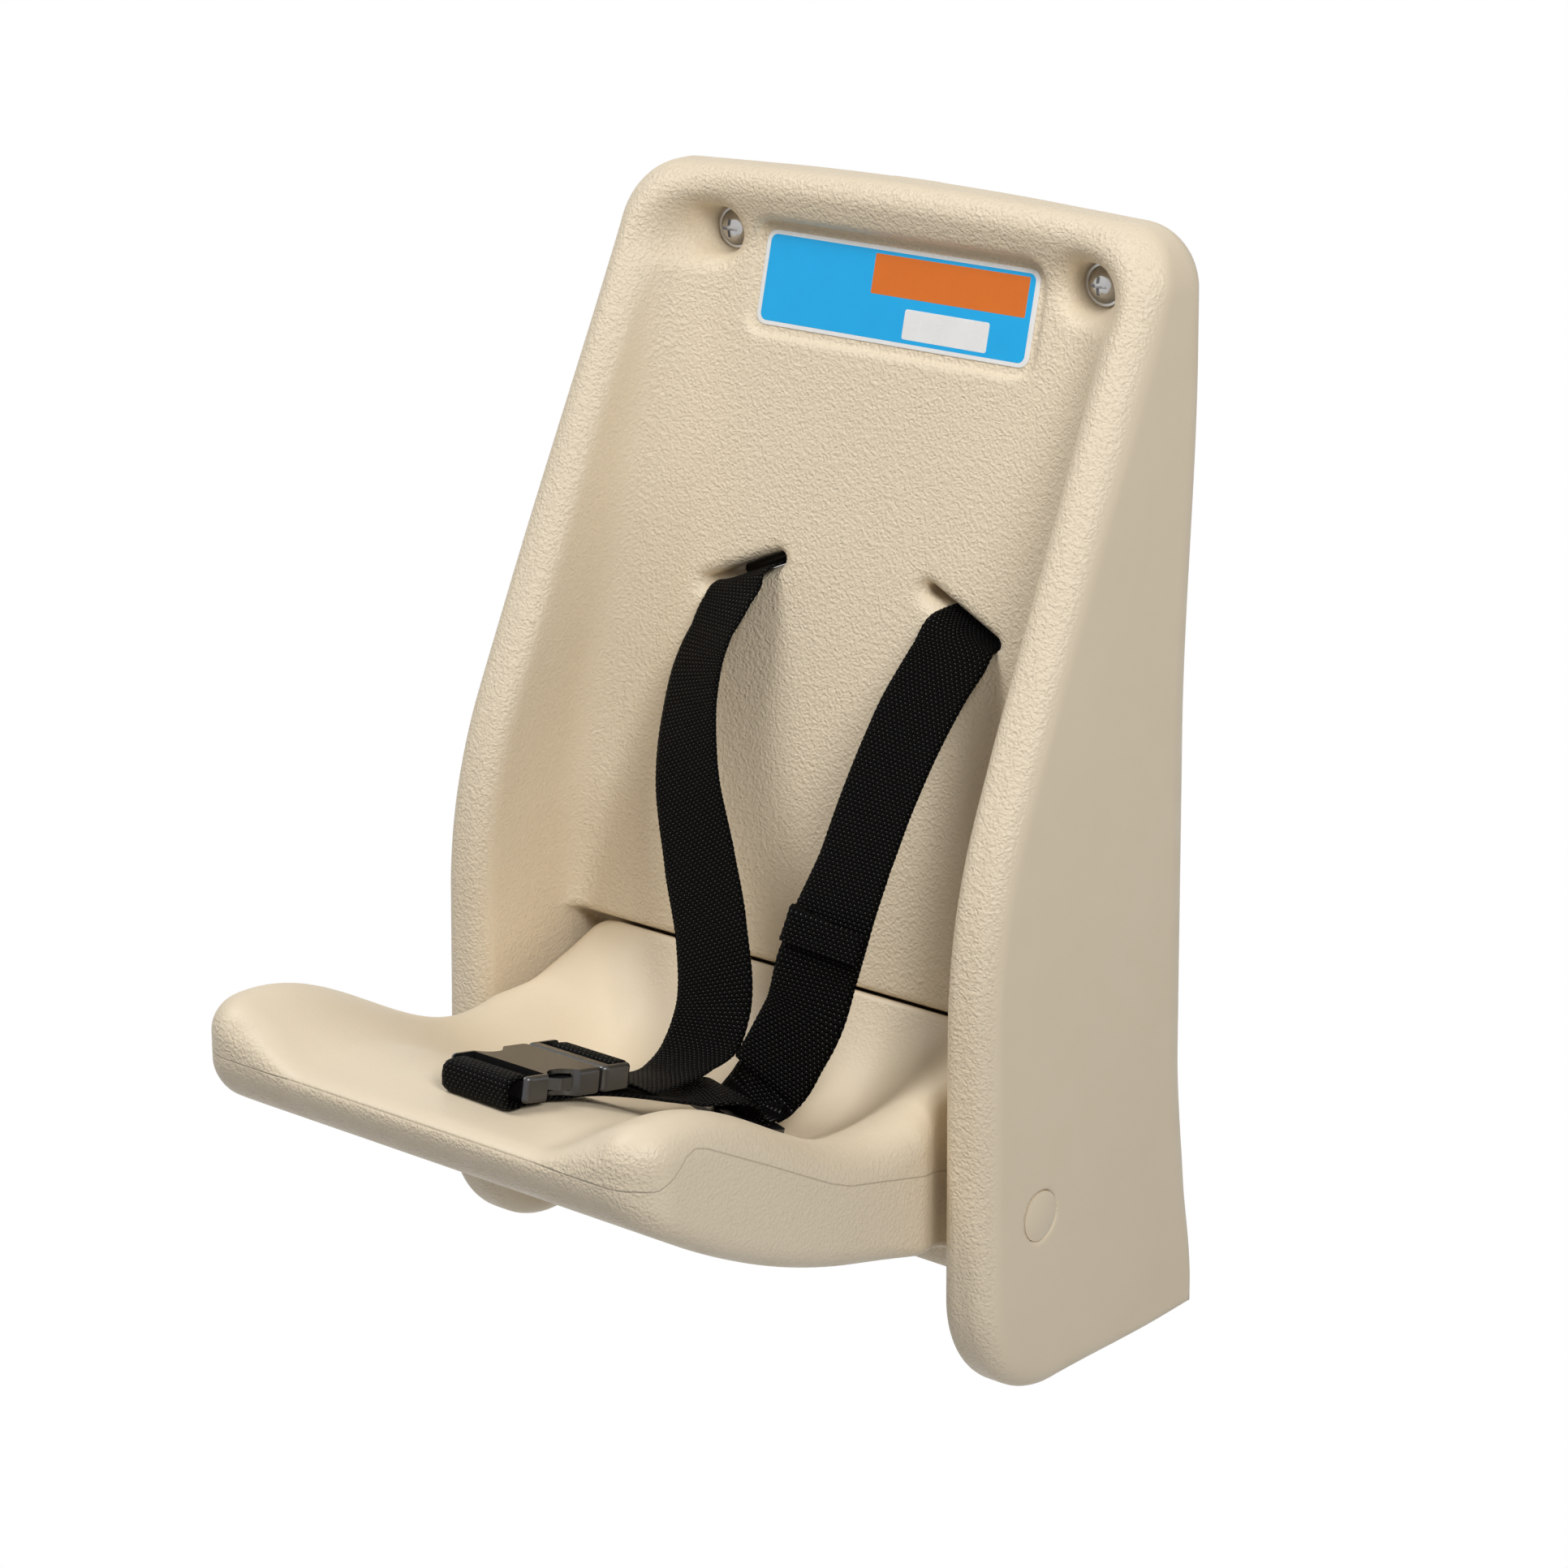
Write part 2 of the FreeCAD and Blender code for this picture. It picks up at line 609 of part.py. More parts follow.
def surface_tool(height_of, first, last, direction):
    """Solid on one side of a smooth surface over the seat's plan."""
    reach = SEAT_HALF + SURFACE_MARGIN
    across = [reach * math.sin(math.pi / 2 * i / HALF_COLUMNS) for i in range(-HALF_COLUMNS, HALF_COLUMNS + 1)]
    rows = [first + (last - first) * i / ROWS for i in range(ROWS + 1)]
    grid = [[at(x, depth, height_of(x, depth)) for x in across] for depth in rows]
    surface = Part.BSplineSurface()
    surface.interpolate(grid)
    return surface.toShape().extrude(Z_AXIS * direction)


def seat_plan():
    """The seat seen from above: round front corners and a narrower neck between the cheeks."""
    right = [
        (NECK_HALF, 0, 0),
        (NECK_HALF, NECK_END, NECK_BEND),
        (SEAT_HALF, NECK_START, NECK_BEND),
        (SEAT_HALF, SEAT_REACH, SEAT_FRONT_CORNER),
    ]
    left = [(-x, depth, radius) for x, depth, radius in reversed(right)]
    return prism(rounded_wire(right + left, plan_on), FreeCAD.Vector(0, 0, 0), Z_AXIS * FAR)


def seat_side():
    """The seat from the side: open to the front, a barrel round the pivot and a heel behind it."""
    barrel_top = PIVOT_HEIGHT + math.sqrt(BARREL_RADIUS ** 2 - (PIVOT_DEPTH - SEAT_BACK_DEPTH) ** 2)
    barrel_low = PIVOT_HEIGHT + math.sqrt(BARREL_RADIUS ** 2 - HEEL_REACH ** 2)
    start = math.atan2(barrel_top - PIVOT_HEIGHT, PIVOT_DEPTH - SEAT_BACK_DEPTH)
    end = math.atan2(barrel_low - PIVOT_HEIGHT, HEEL_REACH)
    bow = (start + end) / 2
    bow_at = side_on(PIVOT_DEPTH - BARREL_RADIUS * math.cos(bow), PIVOT_HEIGHT + BARREL_RADIUS * math.sin(bow))
    top = side_on(SEAT_BACK_DEPTH, barrel_top)
    low = side_on(HEEL_DEPTH, barrel_low)
    corners = [
        low,
        side_on(HEEL_DEPTH, HEEL_FOOT),
        side_on(HEEL_DEPTH + HEEL_LENGTH, HEEL_FOOT),
        side_on(UNDERSIDE_START, UNDERSIDE_LOW),
        side_on(UNDERSIDE_START + OVERCUT, UNDERSIDE_LOW - CLEAR),
        side_on(FAR, UNDERSIDE_LOW - CLEAR),
        side_on(FAR, FAR),
        side_on(SEAT_BACK_DEPTH, FAR),
        top,
    ]
    edges = [Part.LineSegment(a, b).toShape() for a, b in zip(corners, corners[1:])]
    edges.append(Part.Arc(top, bow_at, low).toShape())
    return prism(Part.Wire(edges), -X_AXIS * FAR, X_AXIS * (2 * FAR))


def seat_shell():
    seat = seat_side().common(seat_plan())
    seat = seat.cut(surface_tool(top_height, SEAT_BACK_DEPTH - CLEAR, SEAT_REACH + SURFACE_MARGIN, FAR))
    seat = seat.cut(surface_tool(under_height, UNDERSIDE_START, SEAT_REACH + SURFACE_MARGIN, -FAR))
    seat = seat.cut(bar(pivot_at(0), X_AXIS, ROD_RADIUS + RUNNING_GAP + SEAT_BUSH_WALL, FAR))
    return seat.removeSplitter()


# Pivot pieces
def pivot_rod():
    return bar(pivot_at(0), X_AXIS, ROD_RADIUS, 2 * ROD_END)


def cheek_bush(side):
    """Flanged bush in a cheek, its flange facing the seat."""
    inner = ROD_RADIUS + RUNNING_GAP
    length = COUNTERBORE_X - CHEEK_INNER
    sleeve = tube(pivot_at(side * (CHEEK_INNER + length / 2)), X_AXIS, inner, inner + CHEEK_BUSH_WALL, length)
    flange_at = pivot_at(side * (CHEEK_INNER - BUSH_FLANGE / 2))
    return sleeve.fuse(tube(flange_at, X_AXIS, inner, BUSH_FLANGE_RADIUS, BUSH_FLANGE)).removeSplitter()


def seat_bush(side):
    inner = ROD_RADIUS + RUNNING_GAP
    middle = pivot_at(side * (NECK_HALF - SEAT_BUSH_LENGTH / 2))
    return tube(middle, X_AXIS, inner, inner + SEAT_BUSH_WALL, SEAT_BUSH_LENGTH)


def pivot_spacer(side):
    inner = ROD_RADIUS + RUNNING_GAP
    start = NECK_HALF
    end = CHEEK_INNER - BUSH_FLANGE - STOP_GAP
    return tube(pivot_at(side * (start + end) / 2), X_AXIS, inner, inner + SPACER_WALL, end - start)


def rod_retainer(side):
    middle = pivot_at(side * (COUNTERBORE_X + NUT_THICK / 2))
    return tube(middle, X_AXIS, ROD_RADIUS, NUT_RADIUS, NUT_THICK)


def pivot_cap(side):
    """Low domed plug that closes the counterbore on the outside of a cheek."""
    face = pivot_at(side * shell_half_width(PIVOT_HEIGHT))
    out = X_AXIS * side
    disc = Part.makeCylinder(CAP_RADIUS, CAP_SKIRT, face - out * CAP_SKIRT, out)
    inner = CAP_RADIUS - CAP_SKIRT_WALL
    hollow = Part.makeCylinder(inner, CAP_SKIRT - CAP_SKIRT_WALL, face - out * CAP_SKIRT, out)
    return disc.fuse(dome(face, out, CAP_RADIUS, CAP_CROWN)).cut(hollow).removeSplitter()


# Wall screws
def wall_screw(x, height, seat_depth):
    """Domed cross-head screw, its shank standing out behind the shell into the wall."""
    under_head = at(x, seat_depth + WASHER_THICK, height)
    head = dome(under_head, -Y_AXIS, HEAD_RADIUS, HEAD_DOME)
    top = under_head - Y_AXIS * HEAD_DOME
    for turn in (0, 90):
        wing = Part.makeBox(CROSS_LENGTH, 2 * CROSS_DEPTH, CROSS_WIDE,
                            FreeCAD.Vector(-CROSS_LENGTH / 2, -CROSS_DEPTH, -CROSS_WIDE / 2))
        wing.rotate(FreeCAD.Vector(0, 0, 0), Y_AXIS, turn)
        wing.translate(top)
        head = head.cut(wing)
    shank_length = seat_depth + WASHER_THICK + SCREW_OUT - SCREW_POINT
    shank = Part.makeCylinder(SCREW_RADIUS, shank_length, under_head, Y_AXIS)
    point = Part.makeCone(SCREW_RADIUS, SCREW_TIP, SCREW_POINT, under_head + Y_AXIS * shank_length, Y_AXIS)
    return head.fuse([shank, point]).removeSplitter()


def washer(x, height, seat_depth):
    middle = at(x, seat_depth + WASHER_THICK / 2, height)
    return tube(middle, Y_AXIS, SCREW_RADIUS + SCREW_HOLE_GAP, WASHER_RADIUS, WASHER_THICK)


# Webbing
def smooth_path(stations):
    """Places and across directions at short steps along a smooth curve through the stations."""
    places = [at(*place) for place, across in stations]
    sides = [FreeCAD.Vector(*across) for place, across in stations]
    last = len(places) - 1
    spans = [places[i].distanceToPoint(places[i + 1]) for i in range(last)]
    slopes = [(places[i + 1] - places[i]) * (1 / spans[i]) for i in range(last)]
    tangents = [slopes[0]]
    for i in range(1, last):
        total = spans[i - 1] + spans[i]
        tangents.append(slopes[i] * (spans[i - 1] / total) + slopes[i - 1] * (spans[i] / total))
    tangents.append(slopes[-1])
    path = [(places[0], tangents[0], sides[0])]
    for i in range(last):
        steps = max(1, round(spans[i] / WEB_STEP))
        for k in range(1, steps + 1):
            t = k / steps
            place = places[i] * (2 * t ** 3 - 3 * t ** 2 + 1) + places[i + 1] * (3 * t ** 2 - 2 * t ** 3)
            pull = tangents[i] * (t ** 3 - 2 * t ** 2 + t) + tangents[i + 1] * (t ** 3 - t ** 2)
            along = tangents[i] * (1 - t) + tangents[i + 1] * t
            path.append((place + pull * spans[i], along, sides[i] * (1 - t) + sides[i + 1] * t))
    return path


def ribbon(stations):
    """Webbing along stations, each a place and the direction across the webbing there."""
    sections = []
    for place, along, across in smooth_path(stations):
        along.normalize()
        side = across - along * across.dot(along)
        side.normalize()
        half = side * (WEB_WIDTH / 2)
        lift = along.cross(side) * (WEB_THICK / 2)
        ring = [place - half - lift, place + half - lift, place + half + lift, place - half + lift]
        sections.append(Part.makePolygon(ring + [ring[0]]))
    return Part.makeLoft(sections, True, True)


def slot_across(side):
    slant = math.radians(SLOT_SLANT)
    return (math.cos(slant), 0, -side * math.sin(slant))


def strap_loop(side):
    """Sewn end of a shoulder strap, wrapped round its anchor bar behind the backrest."""
    across = FreeCAD.Vector(*slot_across(side))
    inner = ANCHOR_RADIUS + ANCHOR_LOOP_GAP
    return tube(anchor_place(side), across, inner, inner + WEB_THICK, WEB_WIDTH)


def anchor_place(side):
    outer = ANCHOR_RADIUS + ANCHOR_LOOP_GAP + WEB_THICK
    back = math.sqrt(outer ** 2 - (SLOT_TALL / 2) ** 2) + ANCHOR_LOOP_GAP
    return at(side * SLOT_X, ANCHOR_POCKET_DEPTH - back, SLOT_HEIGHT)


def strap_anchor(side):
    return bar(anchor_place(side), FreeCAD.Vector(*slot_across(side)), ANCHOR_RADIUS, ANCHOR_LENGTH)


def shoulder_strap(side, hanging):
    """One shoulder strap: sewn loop, straight run through the slot, then the hanging length."""
    loop_depth = -anchor_place(side).y + ANCHOR_RADIUS + ANCHOR_LOOP_GAP + WEB_THICK / 2
    across = slot_across(side)
    run = [
        ((side * SLOT_X, loop_depth, SLOT_HEIGHT), across),
        ((side * SLOT_X, (loop_depth + SLOT_EXIT_DEPTH) / 2, SLOT_HEIGHT), across),
        ((side * SLOT_X, SLOT_EXIT_DEPTH, SLOT_HEIGHT), across),
    ]
    return ribbon(run + hanging).fuse(strap_loop(side)).removeSplitter()


LEFT_HANGING = [
    ((-60.0, 60.0, 310.5), (0.92, -0.1, 0.38)),
    ((-58.5, 67.0, 303.5), (0.93, -0.18, 0.33)),
    ((-59.8, 76.0, 290.3), (0.93, -0.21, 0.29)),
    ((-60.8, 82.0, 279.7), (0.94, -0.21, 0.27)),
    ((-57.3, 94.0, 259.1), (0.95, -0.16, 0.26)),
    ((-46.6, 109.0, 235.5), (0.97, -0.06, 0.22)),
    ((-25.2, 126.0, 203.5), (0.98, 0.06, 0.19)),
    ((-6.0, 141.0, 177.6), (0.98, 0.07, 0.19)),
    ((8.3, 158.0, 149.7), (0.98, 0.18, 0.13)),
    ((10.7, 168.0, 139.4), (0.97, 0.19, 0.1)),
    ((12.5, 186.0, 134.5), (1.0, 0.1, 0.0)),
    ((14.5, 207.0, 137.5), (1.0, 0.05, 0.0)),
    ((16.0, 226.0, 144.2), (1.0, 0.05, 0.0)),
]
RIGHT_HANGING = [
    ((63.0, 60.0, 310.0), (0.92, -0.03, -0.39)),
    ((66.0, 72.0, 299.5), (0.93, 0.02, -0.36)),
    ((65.6, 82.0, 289.6), (0.97, 0.02, -0.22)),
    ((63.5, 98.0, 268.3), (1.0, 0.02, -0.09)),
    ((61.0, 112.0, 244.5), (1.0, 0.03, 0.0)),
    ((60.0, 125.0, 221.7), (0.99, 0.06, 0.08)),
    ((59.6, 141.0, 197.4), (0.97, 0.22, 0.0)),
    ((57.5, 147.0, 179.0), (0.97, 0.22, -0.05)),
    ((57.0, 154.5, 160.6), (0.98, 0.17, 0.0)),
    ((51.9, 160.0, 145.5), (0.98, 0.15, 0.0)),
    ((47.5, 165.5, 131.0), (0.98, 0.0, 0.0)),
    ((46.4, 169.5, 122.5), (0.97, -0.2, 0.0)),
]
TAIL_FIRST = 6
TAIL_LIFT = 2.2

# Lap strap from the adjuster to the buckle: place across, depth, lift off the pan, turn of its width
LAP_RUN = [
    (34.5, 206.0, 5.0, -20.0),
    (30.5, 217.0, 2.6, -18.0),
    (26.5, 229.0, 1.6, -14.0),
    (22.5, 242.0, 1.3, -10.0),
    (19.5, 255.0, 1.25, -7.0),
    (17.2, 268.0, 1.15, -5.0),
    (15.5, 280.0, 1.1, -4.0),
    (14.3, 294.0, 1.1, -3.0),
]


def strap_tail():
    """Loose doubled end of the right strap, lying on the strap's lower length up to its hem."""
    places = [at(*place) for place, across in RIGHT_HANGING]
    stations = []
    for i in range(TAIL_FIRST, len(places) - 1):
        along = places[i + 1] - places[i - 1]
        across = RIGHT_HANGING[i][1]
        normal = along.cross(FreeCAD.Vector(*across))
        normal.normalize()
        stations.append((spot(places[i] + normal * TAIL_LIFT), across))
    return ribbon(stations)


def wrap(start, edge, tall, lead):
    """Path of webbing round a flat bar, from below it, past its edge and back above it."""
    half = tall / 2 + STOP_GAP + WEB_THICK / 2
    path = [(start, -half)]
    for i in range(-WRAP_STEPS, WRAP_STEPS + 1):
        turn = math.pi / 2 * i / WRAP_STEPS
        path.append((edge + lead * math.cos(turn), half * math.sin(turn)))
    path.append((start, half))
    return path


def on_buckle(path):
    across = tuple(buckle_turn().multVec(X_AXIS))
    return [(spot(buckle_point(0, y, z)), across) for y, z in path]


def on_glide(path):
    across = tuple(glide_turn().multVec(X_AXIS))
    return [(spot(glide_point(0, y, z)), across) for y, z in path]


def lap_strap():
    """Webbing from the adjuster, lying on the pan under the buckle and looped round its front bar."""
    over_bar = GLIDE_THICK / 2 + WEB_THICK
    steps = (GLIDE_BAR / 2, -GLIDE_LENGTH / 4, -GLIDE_LENGTH / 2 - WRAP_START)
    stations = on_glide([(y, over_bar) for y in steps])
    for x, depth, lift, turn in LAP_RUN:
        angle = math.radians(turn)
        slope = (pan_height(depth + SLOPE_STEP) - pan_height(depth)) / SLOPE_STEP
        across = (math.cos(angle), math.sin(angle), -math.sin(angle) * slope)
        stations.append(((x, depth, pan_height(depth) + lift), across))
    stations += on_buckle(wrap(BUCKLE_BAR, 0, BUCKLE_BAR_TALL, -LOOP_SLACK))
    return ribbon(stations)


def left_strap_end():
    """The left strap's end, up through the slot of the male half and back over its bar."""
    return on_buckle(wrap(PLUG_END + WRAP_START, PLUG_END - BUCKLE_BAR, BUCKLE_BAR_TALL, -WRAP_LEAD))


def right_strap_end():
    """The right strap's end, down through the adjuster and back under its rear bar."""
    bar_edge = GLIDE_BAR / 2 + GLIDE_SLOT
    path = wrap(GLIDE_LENGTH / 2 + WRAP_START, bar_edge, GLIDE_THICK + WEB_THICK, -WRAP_LEAD)
    return on_glide(list(reversed(path)))


# Buckle
def buckle_turn():
    yaw = FreeCAD.Rotation(Z_AXIS, BUCKLE_YAW)
    pitch = FreeCAD.Rotation(X_AXIS, BUCKLE_PITCH)
    return yaw.multiply(pitch).multiply(FreeCAD.Rotation(Y_AXIS, BUCKLE_ROLL))


def buckle_point(x, y, z):
    """A place on the buckle: across it, back along it from its front, and up from its middle."""
    return buckle_turn().multVec(FreeCAD.Vector(x, y, z)) + at(BUCKLE_X, BUCKLE_DEPTH, BUCKLE_HEIGHT)


def in_buckle(shape):
    """Moves a shape drawn flat at the origin into the buckle's place."""
    shape.Placement = FreeCAD.Placement(at(BUCKLE_X, BUCKLE_DEPTH, BUCKLE_HEIGHT), buckle_turn())
    return shape


def block(width, start, end, thick, corner=0.0):
    """A flat block centred across and through its thickness, with its upright edges rounded."""
    half = width / 2
    wire = rounded_wire(
        [(-half, start, corner), (half, start, corner), (half, end, corner), (-half, end, corner)],
        lambda a, b: FreeCAD.Vector(a, b, -thick / 2),
    )
    return Part.Face(wire).extrude(Z_AXIS * thick)


def soft_block(start, end):
    """A buckle half's outside, with its flat faces' edges rounded."""
    body = block(BUCKLE_WIDTH, start, end, BUCKLE_THICK, BUCKLE_CORNER)
    return body.makeFillet(BUCKLE_ROUND, [e for e in body.Edges if e.BoundBox.ZLength < TINY])


def buckle_socket():
    """Female half: flat hollow body with side windows, and a bar for the lap strap in front."""
    body = soft_block(0, SOCKET_LENGTH)
    body = body.cut(block(WEB_ROOM, BUCKLE_BAR, BUCKLE_BAR + BUCKLE_SLOT, FAR))
    space = block(WEB_ROOM, -OVERCUT, BUCKLE_BAR + OVERCUT, FAR)
    space = space.cut(block(WEB_ROOM, -OVERCUT, BUCKLE_BAR + OVERCUT, BUCKLE_BAR_TALL))
    body = body.cut(space)
    inside = block(BUCKLE_WIDTH - 2 * SOCKET_SIDE, SOCKET_LENGTH - SOCKET_HOLLOW, SOCKET_LENGTH + OVERCUT,
                   BUCKLE_THICK - 2 * BUCKLE_WALL)
    body = body.cut(inside)
    ball = (WINDOW_LENGTH ** 2 / 4 + WINDOW_SINK ** 2) / (2 * WINDOW_SINK)
    for side in (-1, 1):
        middle = FreeCAD.Vector(side * (BUCKLE_WIDTH / 2 - WINDOW_SINK + ball), WINDOW_MIDDLE, -FAR / 2)
        body = body.cut(Part.makeCylinder(ball, FAR, middle))
    return in_buckle(body.removeSplitter())


def buckle_plug():
    """Male half: tail with a slot and bar for the left strap, and the guide tongue."""
    body = soft_block(PLUG_START, PLUG_END)
    slot_end = PLUG_END - BUCKLE_BAR
    body = body.cut(block(WEB_ROOM, slot_end - BUCKLE_SLOT, slot_end, FAR))
    space = block(WEB_ROOM, slot_end - OVERCUT, PLUG_END + OVERCUT, FAR)
    body = body.cut(space.cut(block(WEB_ROOM, slot_end - OVERCUT, PLUG_END + OVERCUT, BUCKLE_BAR_TALL)))
    body = body.fuse(block(TONGUE_WIDTH, PLUG_START - TONGUE_LENGTH, PLUG_START + OVERCUT, TONGUE_THICK))
    for side in (-1, 1):
        root = arm_root(side)
        room = ARM_WIDTH / 2 + 2 * ARM_GAP
        body = body.cut(Part.makeCylinder(ARM_KNUCKLE + ARM_GAP, ARM_ROOM, root - Z_AXIS * (ARM_ROOM / 2)))
        mouth = FreeCAD.Vector(root.x - room, PLUG_START - OVERCUT, -ARM_ROOM / 2)
        body = body.cut(Part.makeBox(2 * room, root.y - PLUG_START + OVERCUT, ARM_ROOM, mouth))
    return in_buckle(body.removeSplitter())


def arm_root(side):
    return FreeCAD.Vector(side * ARM_X, PLUG_START + ARM_ROOT_IN, 0)


def latch_arm(side):
    """Springy latch arm of the male half, with its pad standing out in the side window."""
    tip = PLUG_START - ARM_LENGTH
    inner = ARM_X - ARM_WIDTH / 2
    outer = ARM_X + ARM_WIDTH / 2
    shoulder = WINDOW_MIDDLE + WINDOW_LENGTH / 2 - ARM_SHOULDER_IN
    wire = rounded_wire(
        [
            (inner, arm_root(1).y, 0),
            (inner, tip, ARM_TIP_ROUND),
            (outer, tip, ARM_TIP_ROUND),
            (outer + ARM_HOOK, shoulder - ARM_PAD, ARM_PAD_ROUND),
            (outer + ARM_HOOK, shoulder, ARM_EDGE_ROUND),
            (outer, shoulder, ARM_EDGE_ROUND),
            (outer, arm_root(1).y, 0),
        ],
        lambda a, b: FreeCAD.Vector(a, b, -ARM_THICK / 2),
    )
    arm = Part.Face(wire).extrude(Z_AXIS * ARM_THICK)
    arm = arm.fuse(Part.makeCylinder(ARM_KNUCKLE, ARM_THICK, arm_root(1) - Z_AXIS * (ARM_THICK / 2)))
    arm = arm.removeSplitter()
    return in_buckle(arm if side > 0 else mirrored(arm))


def tri_glide():
    """Flat adjuster with two webbing slots, lying on the pan at the right strap's foot."""
    plate = block(GLIDE_WIDTH, -GLIDE_LENGTH / 2, GLIDE_LENGTH / 2, GLIDE_THICK, BUCKLE_CORNER)
    for side in (-1, 1):
        middle = side * (GLIDE_BAR + GLIDE_SLOT) / 2
        plate = plate.cut(block(WEB_ROOM, middle - GLIDE_SLOT / 2, middle + GLIDE_SLOT / 2, FAR))
    return in_glide(plate)


def glide_turn():
    return FreeCAD.Rotation(Z_AXIS, GLIDE_YAW).multiply(FreeCAD.Rotation(X_AXIS, GLIDE_PITCH))


def glide_point(x, y, z):
    return glide_turn().multVec(FreeCAD.Vector(x, y, z)) + at(GLIDE_X, GLIDE_DEPTH, GLIDE_HEIGHT)


def in_glide(shape):
    shape.Placement = FreeCAD.Placement(at(GLIDE_X, GLIDE_DEPTH, GLIDE_HEIGHT), glide_turn())
    return shape


def main():
    save("back_shell", back_shell())
    save("label_plate", on_backrest(label_blank(0, LABEL_THICK), LABEL_HEIGHT, LABEL_RECESS))
    save("upper_wall_screws", *[wall_screw(s * UPPER_SCREW_X, SCREW_HEIGHT, UPPER_SEAT_DEPTH) for s in (-1, 1)])
    save("upper_wall_washers", *[washer(s * UPPER_SCREW_X, SCREW_HEIGHT, UPPER_SEAT_DEPTH) for s in (-1, 1)])
    save("lower_wall_screws",
         *[wall_screw(s * LOWER_SCREW_X, LOWER_SCREW_HEIGHT, LOWER_SEAT_DEPTH) for s in (-1, 1)])
    save("lower_wall_washers",
         *[washer(s * LOWER_SCREW_X, LOWER_SCREW_HEIGHT, LOWER_SEAT_DEPTH) for s in (-1, 1)])
    save("pivot_rod", pivot_rod())
    save("rod_retainers", rod_retainer(-1), rod_retainer(1))
    save("pivot_spacers", pivot_spacer(-1), pivot_spacer(1))
    for side, word in ((-1, "left"), (1, "right")):
        save("cheek_bush_" + word, cheek_bush(side))
        save("pivot_cap_" + word, pivot_cap(side))
        save("seat_bush_" + word, seat_bush(side))
        save("strap_anchor_" + word, strap_anchor(side))
        save("latch_arm_" + word, latch_arm(side))
    save("shoulder_strap_left", shoulder_strap(-1, LEFT_HANGING + left_strap_end()))
    save("shoulder_strap_right", shoulder_strap(1, RIGHT_HANGING + right_strap_end()))
    save("strap_tail", strap_tail())
    save("lap_strap", lap_strap())
    save("tri_glide", tri_glide())
    save("seat_shell", seat_shell())
    save("buckle_socket", buckle_socket())
    save("buckle_plug", buckle_plug())


main()
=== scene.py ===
import math
import bpy
import numpy as np
from mathutils import Matrix, Vector


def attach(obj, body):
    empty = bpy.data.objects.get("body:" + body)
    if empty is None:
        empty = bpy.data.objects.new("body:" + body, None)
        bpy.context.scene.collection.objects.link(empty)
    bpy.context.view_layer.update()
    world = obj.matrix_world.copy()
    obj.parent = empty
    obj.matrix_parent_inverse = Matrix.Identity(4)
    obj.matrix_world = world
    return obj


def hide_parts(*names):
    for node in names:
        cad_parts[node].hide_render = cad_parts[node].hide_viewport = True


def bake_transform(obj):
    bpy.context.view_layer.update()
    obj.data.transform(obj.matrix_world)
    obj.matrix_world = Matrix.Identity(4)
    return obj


# Looks of a wall-mounted child seat, built over its solids. Lengths here are millimetres:
# x across, depth out from the wall, height above the shell's foot. Meshes are in metres.
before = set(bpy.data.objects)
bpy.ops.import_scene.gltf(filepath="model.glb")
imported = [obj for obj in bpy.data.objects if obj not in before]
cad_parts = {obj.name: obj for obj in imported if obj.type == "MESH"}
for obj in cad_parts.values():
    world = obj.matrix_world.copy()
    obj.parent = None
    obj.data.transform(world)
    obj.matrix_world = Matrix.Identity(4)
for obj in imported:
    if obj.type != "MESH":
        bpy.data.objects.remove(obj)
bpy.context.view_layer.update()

SCREW_HEIGHT = 455.0

# Back shell. A pair is a range over which one size fades into the next.
SHELL_HEIGHT = 490.0
BELOW_FOOT = -40
FOOT_HALF = 156.0
TOP_HALF = 146.0
SHELL_DEPTH = 155.0
TOP_DEPTH = 28.2
RIM_LEAN = math.tan(math.radians(25.0))
RIM_BEND = 220.0
FOOT_ROUND = 50.0
TOP_CORNER = 27.0
TOP_CROWN = 6.0
TOP_ARCH = 1500.0
RIM_ROUND = 10.5
TOP_RIM_ROUND = 15.0
TOP_RIM_FADE = (300, 460)
BACK_FOOT_ROUND = 5.0
BACK_FOOT_FADE = (10, 60)
BACK_ROUND = 12.0
BACK_WAIST_ROUND = 23.0
WAIST_FOOT_FADE = (30, 125)
WAIST_TOP_FADE = (270, 430)
BACK_EDGE_START = 22
BACK_EDGE_END = 40
FOOT_EDGE_END = 110
FOOT_EDGE_TALL = 60
RECESS_TOP = 478.0
RECESS_CORNER = 34.0
RECESS_SIDE = [(129.6, BELOW_FOOT, 0), (127.2, 190, 400), (125.3, 285, 400), (125.6, RECESS_TOP, RECESS_CORNER)]
FOOT_DRAFT = 0.01
MIDDLE_DRAFT = 0.12
MIDDLE_DRAFT_FADE = (230, 360)
TOP_DRAFT = 0.3
TOP_DRAFT_FADE = (360, 480)
POCKET_FILLET = 4
LIP_FILLET = 8
LIP_FILLET_FADE = (148, 153)
BACKREST_FILLET = 14
BACKREST_FILLET_FADE = (153, 215)
TOP_FILLET_LOSS = 6
TOP_FILLET_FADE = (330, 440)
MOUTH_ROUND = 9
MOUTH_TOP_ROUND = 5
MOUTH_FADE = (400, 480)
BACKREST_TOP = 470.0
BACKREST_TOP_DEPTH = 17.0
LIP_HEIGHT = 151.4
LIP_DEPTH = 93.5
BACKREST_SLOPE = (LIP_DEPTH - BACKREST_TOP_DEPTH) / (BACKREST_TOP - LIP_HEIGHT)
LIP_ROUND = 2.0
PIVOT_DEPTH = 117.8
PIVOT_HEIGHT = 82.6
POCKET_RADIUS = 71.6
CAP_RADIUS = 11.0
CAP_GAP = 0.15
CAP_SEAT = 142.3
FIT_ROUND = 0.8
RIB_X = 80.0
RIB_DEPTH = 46.0
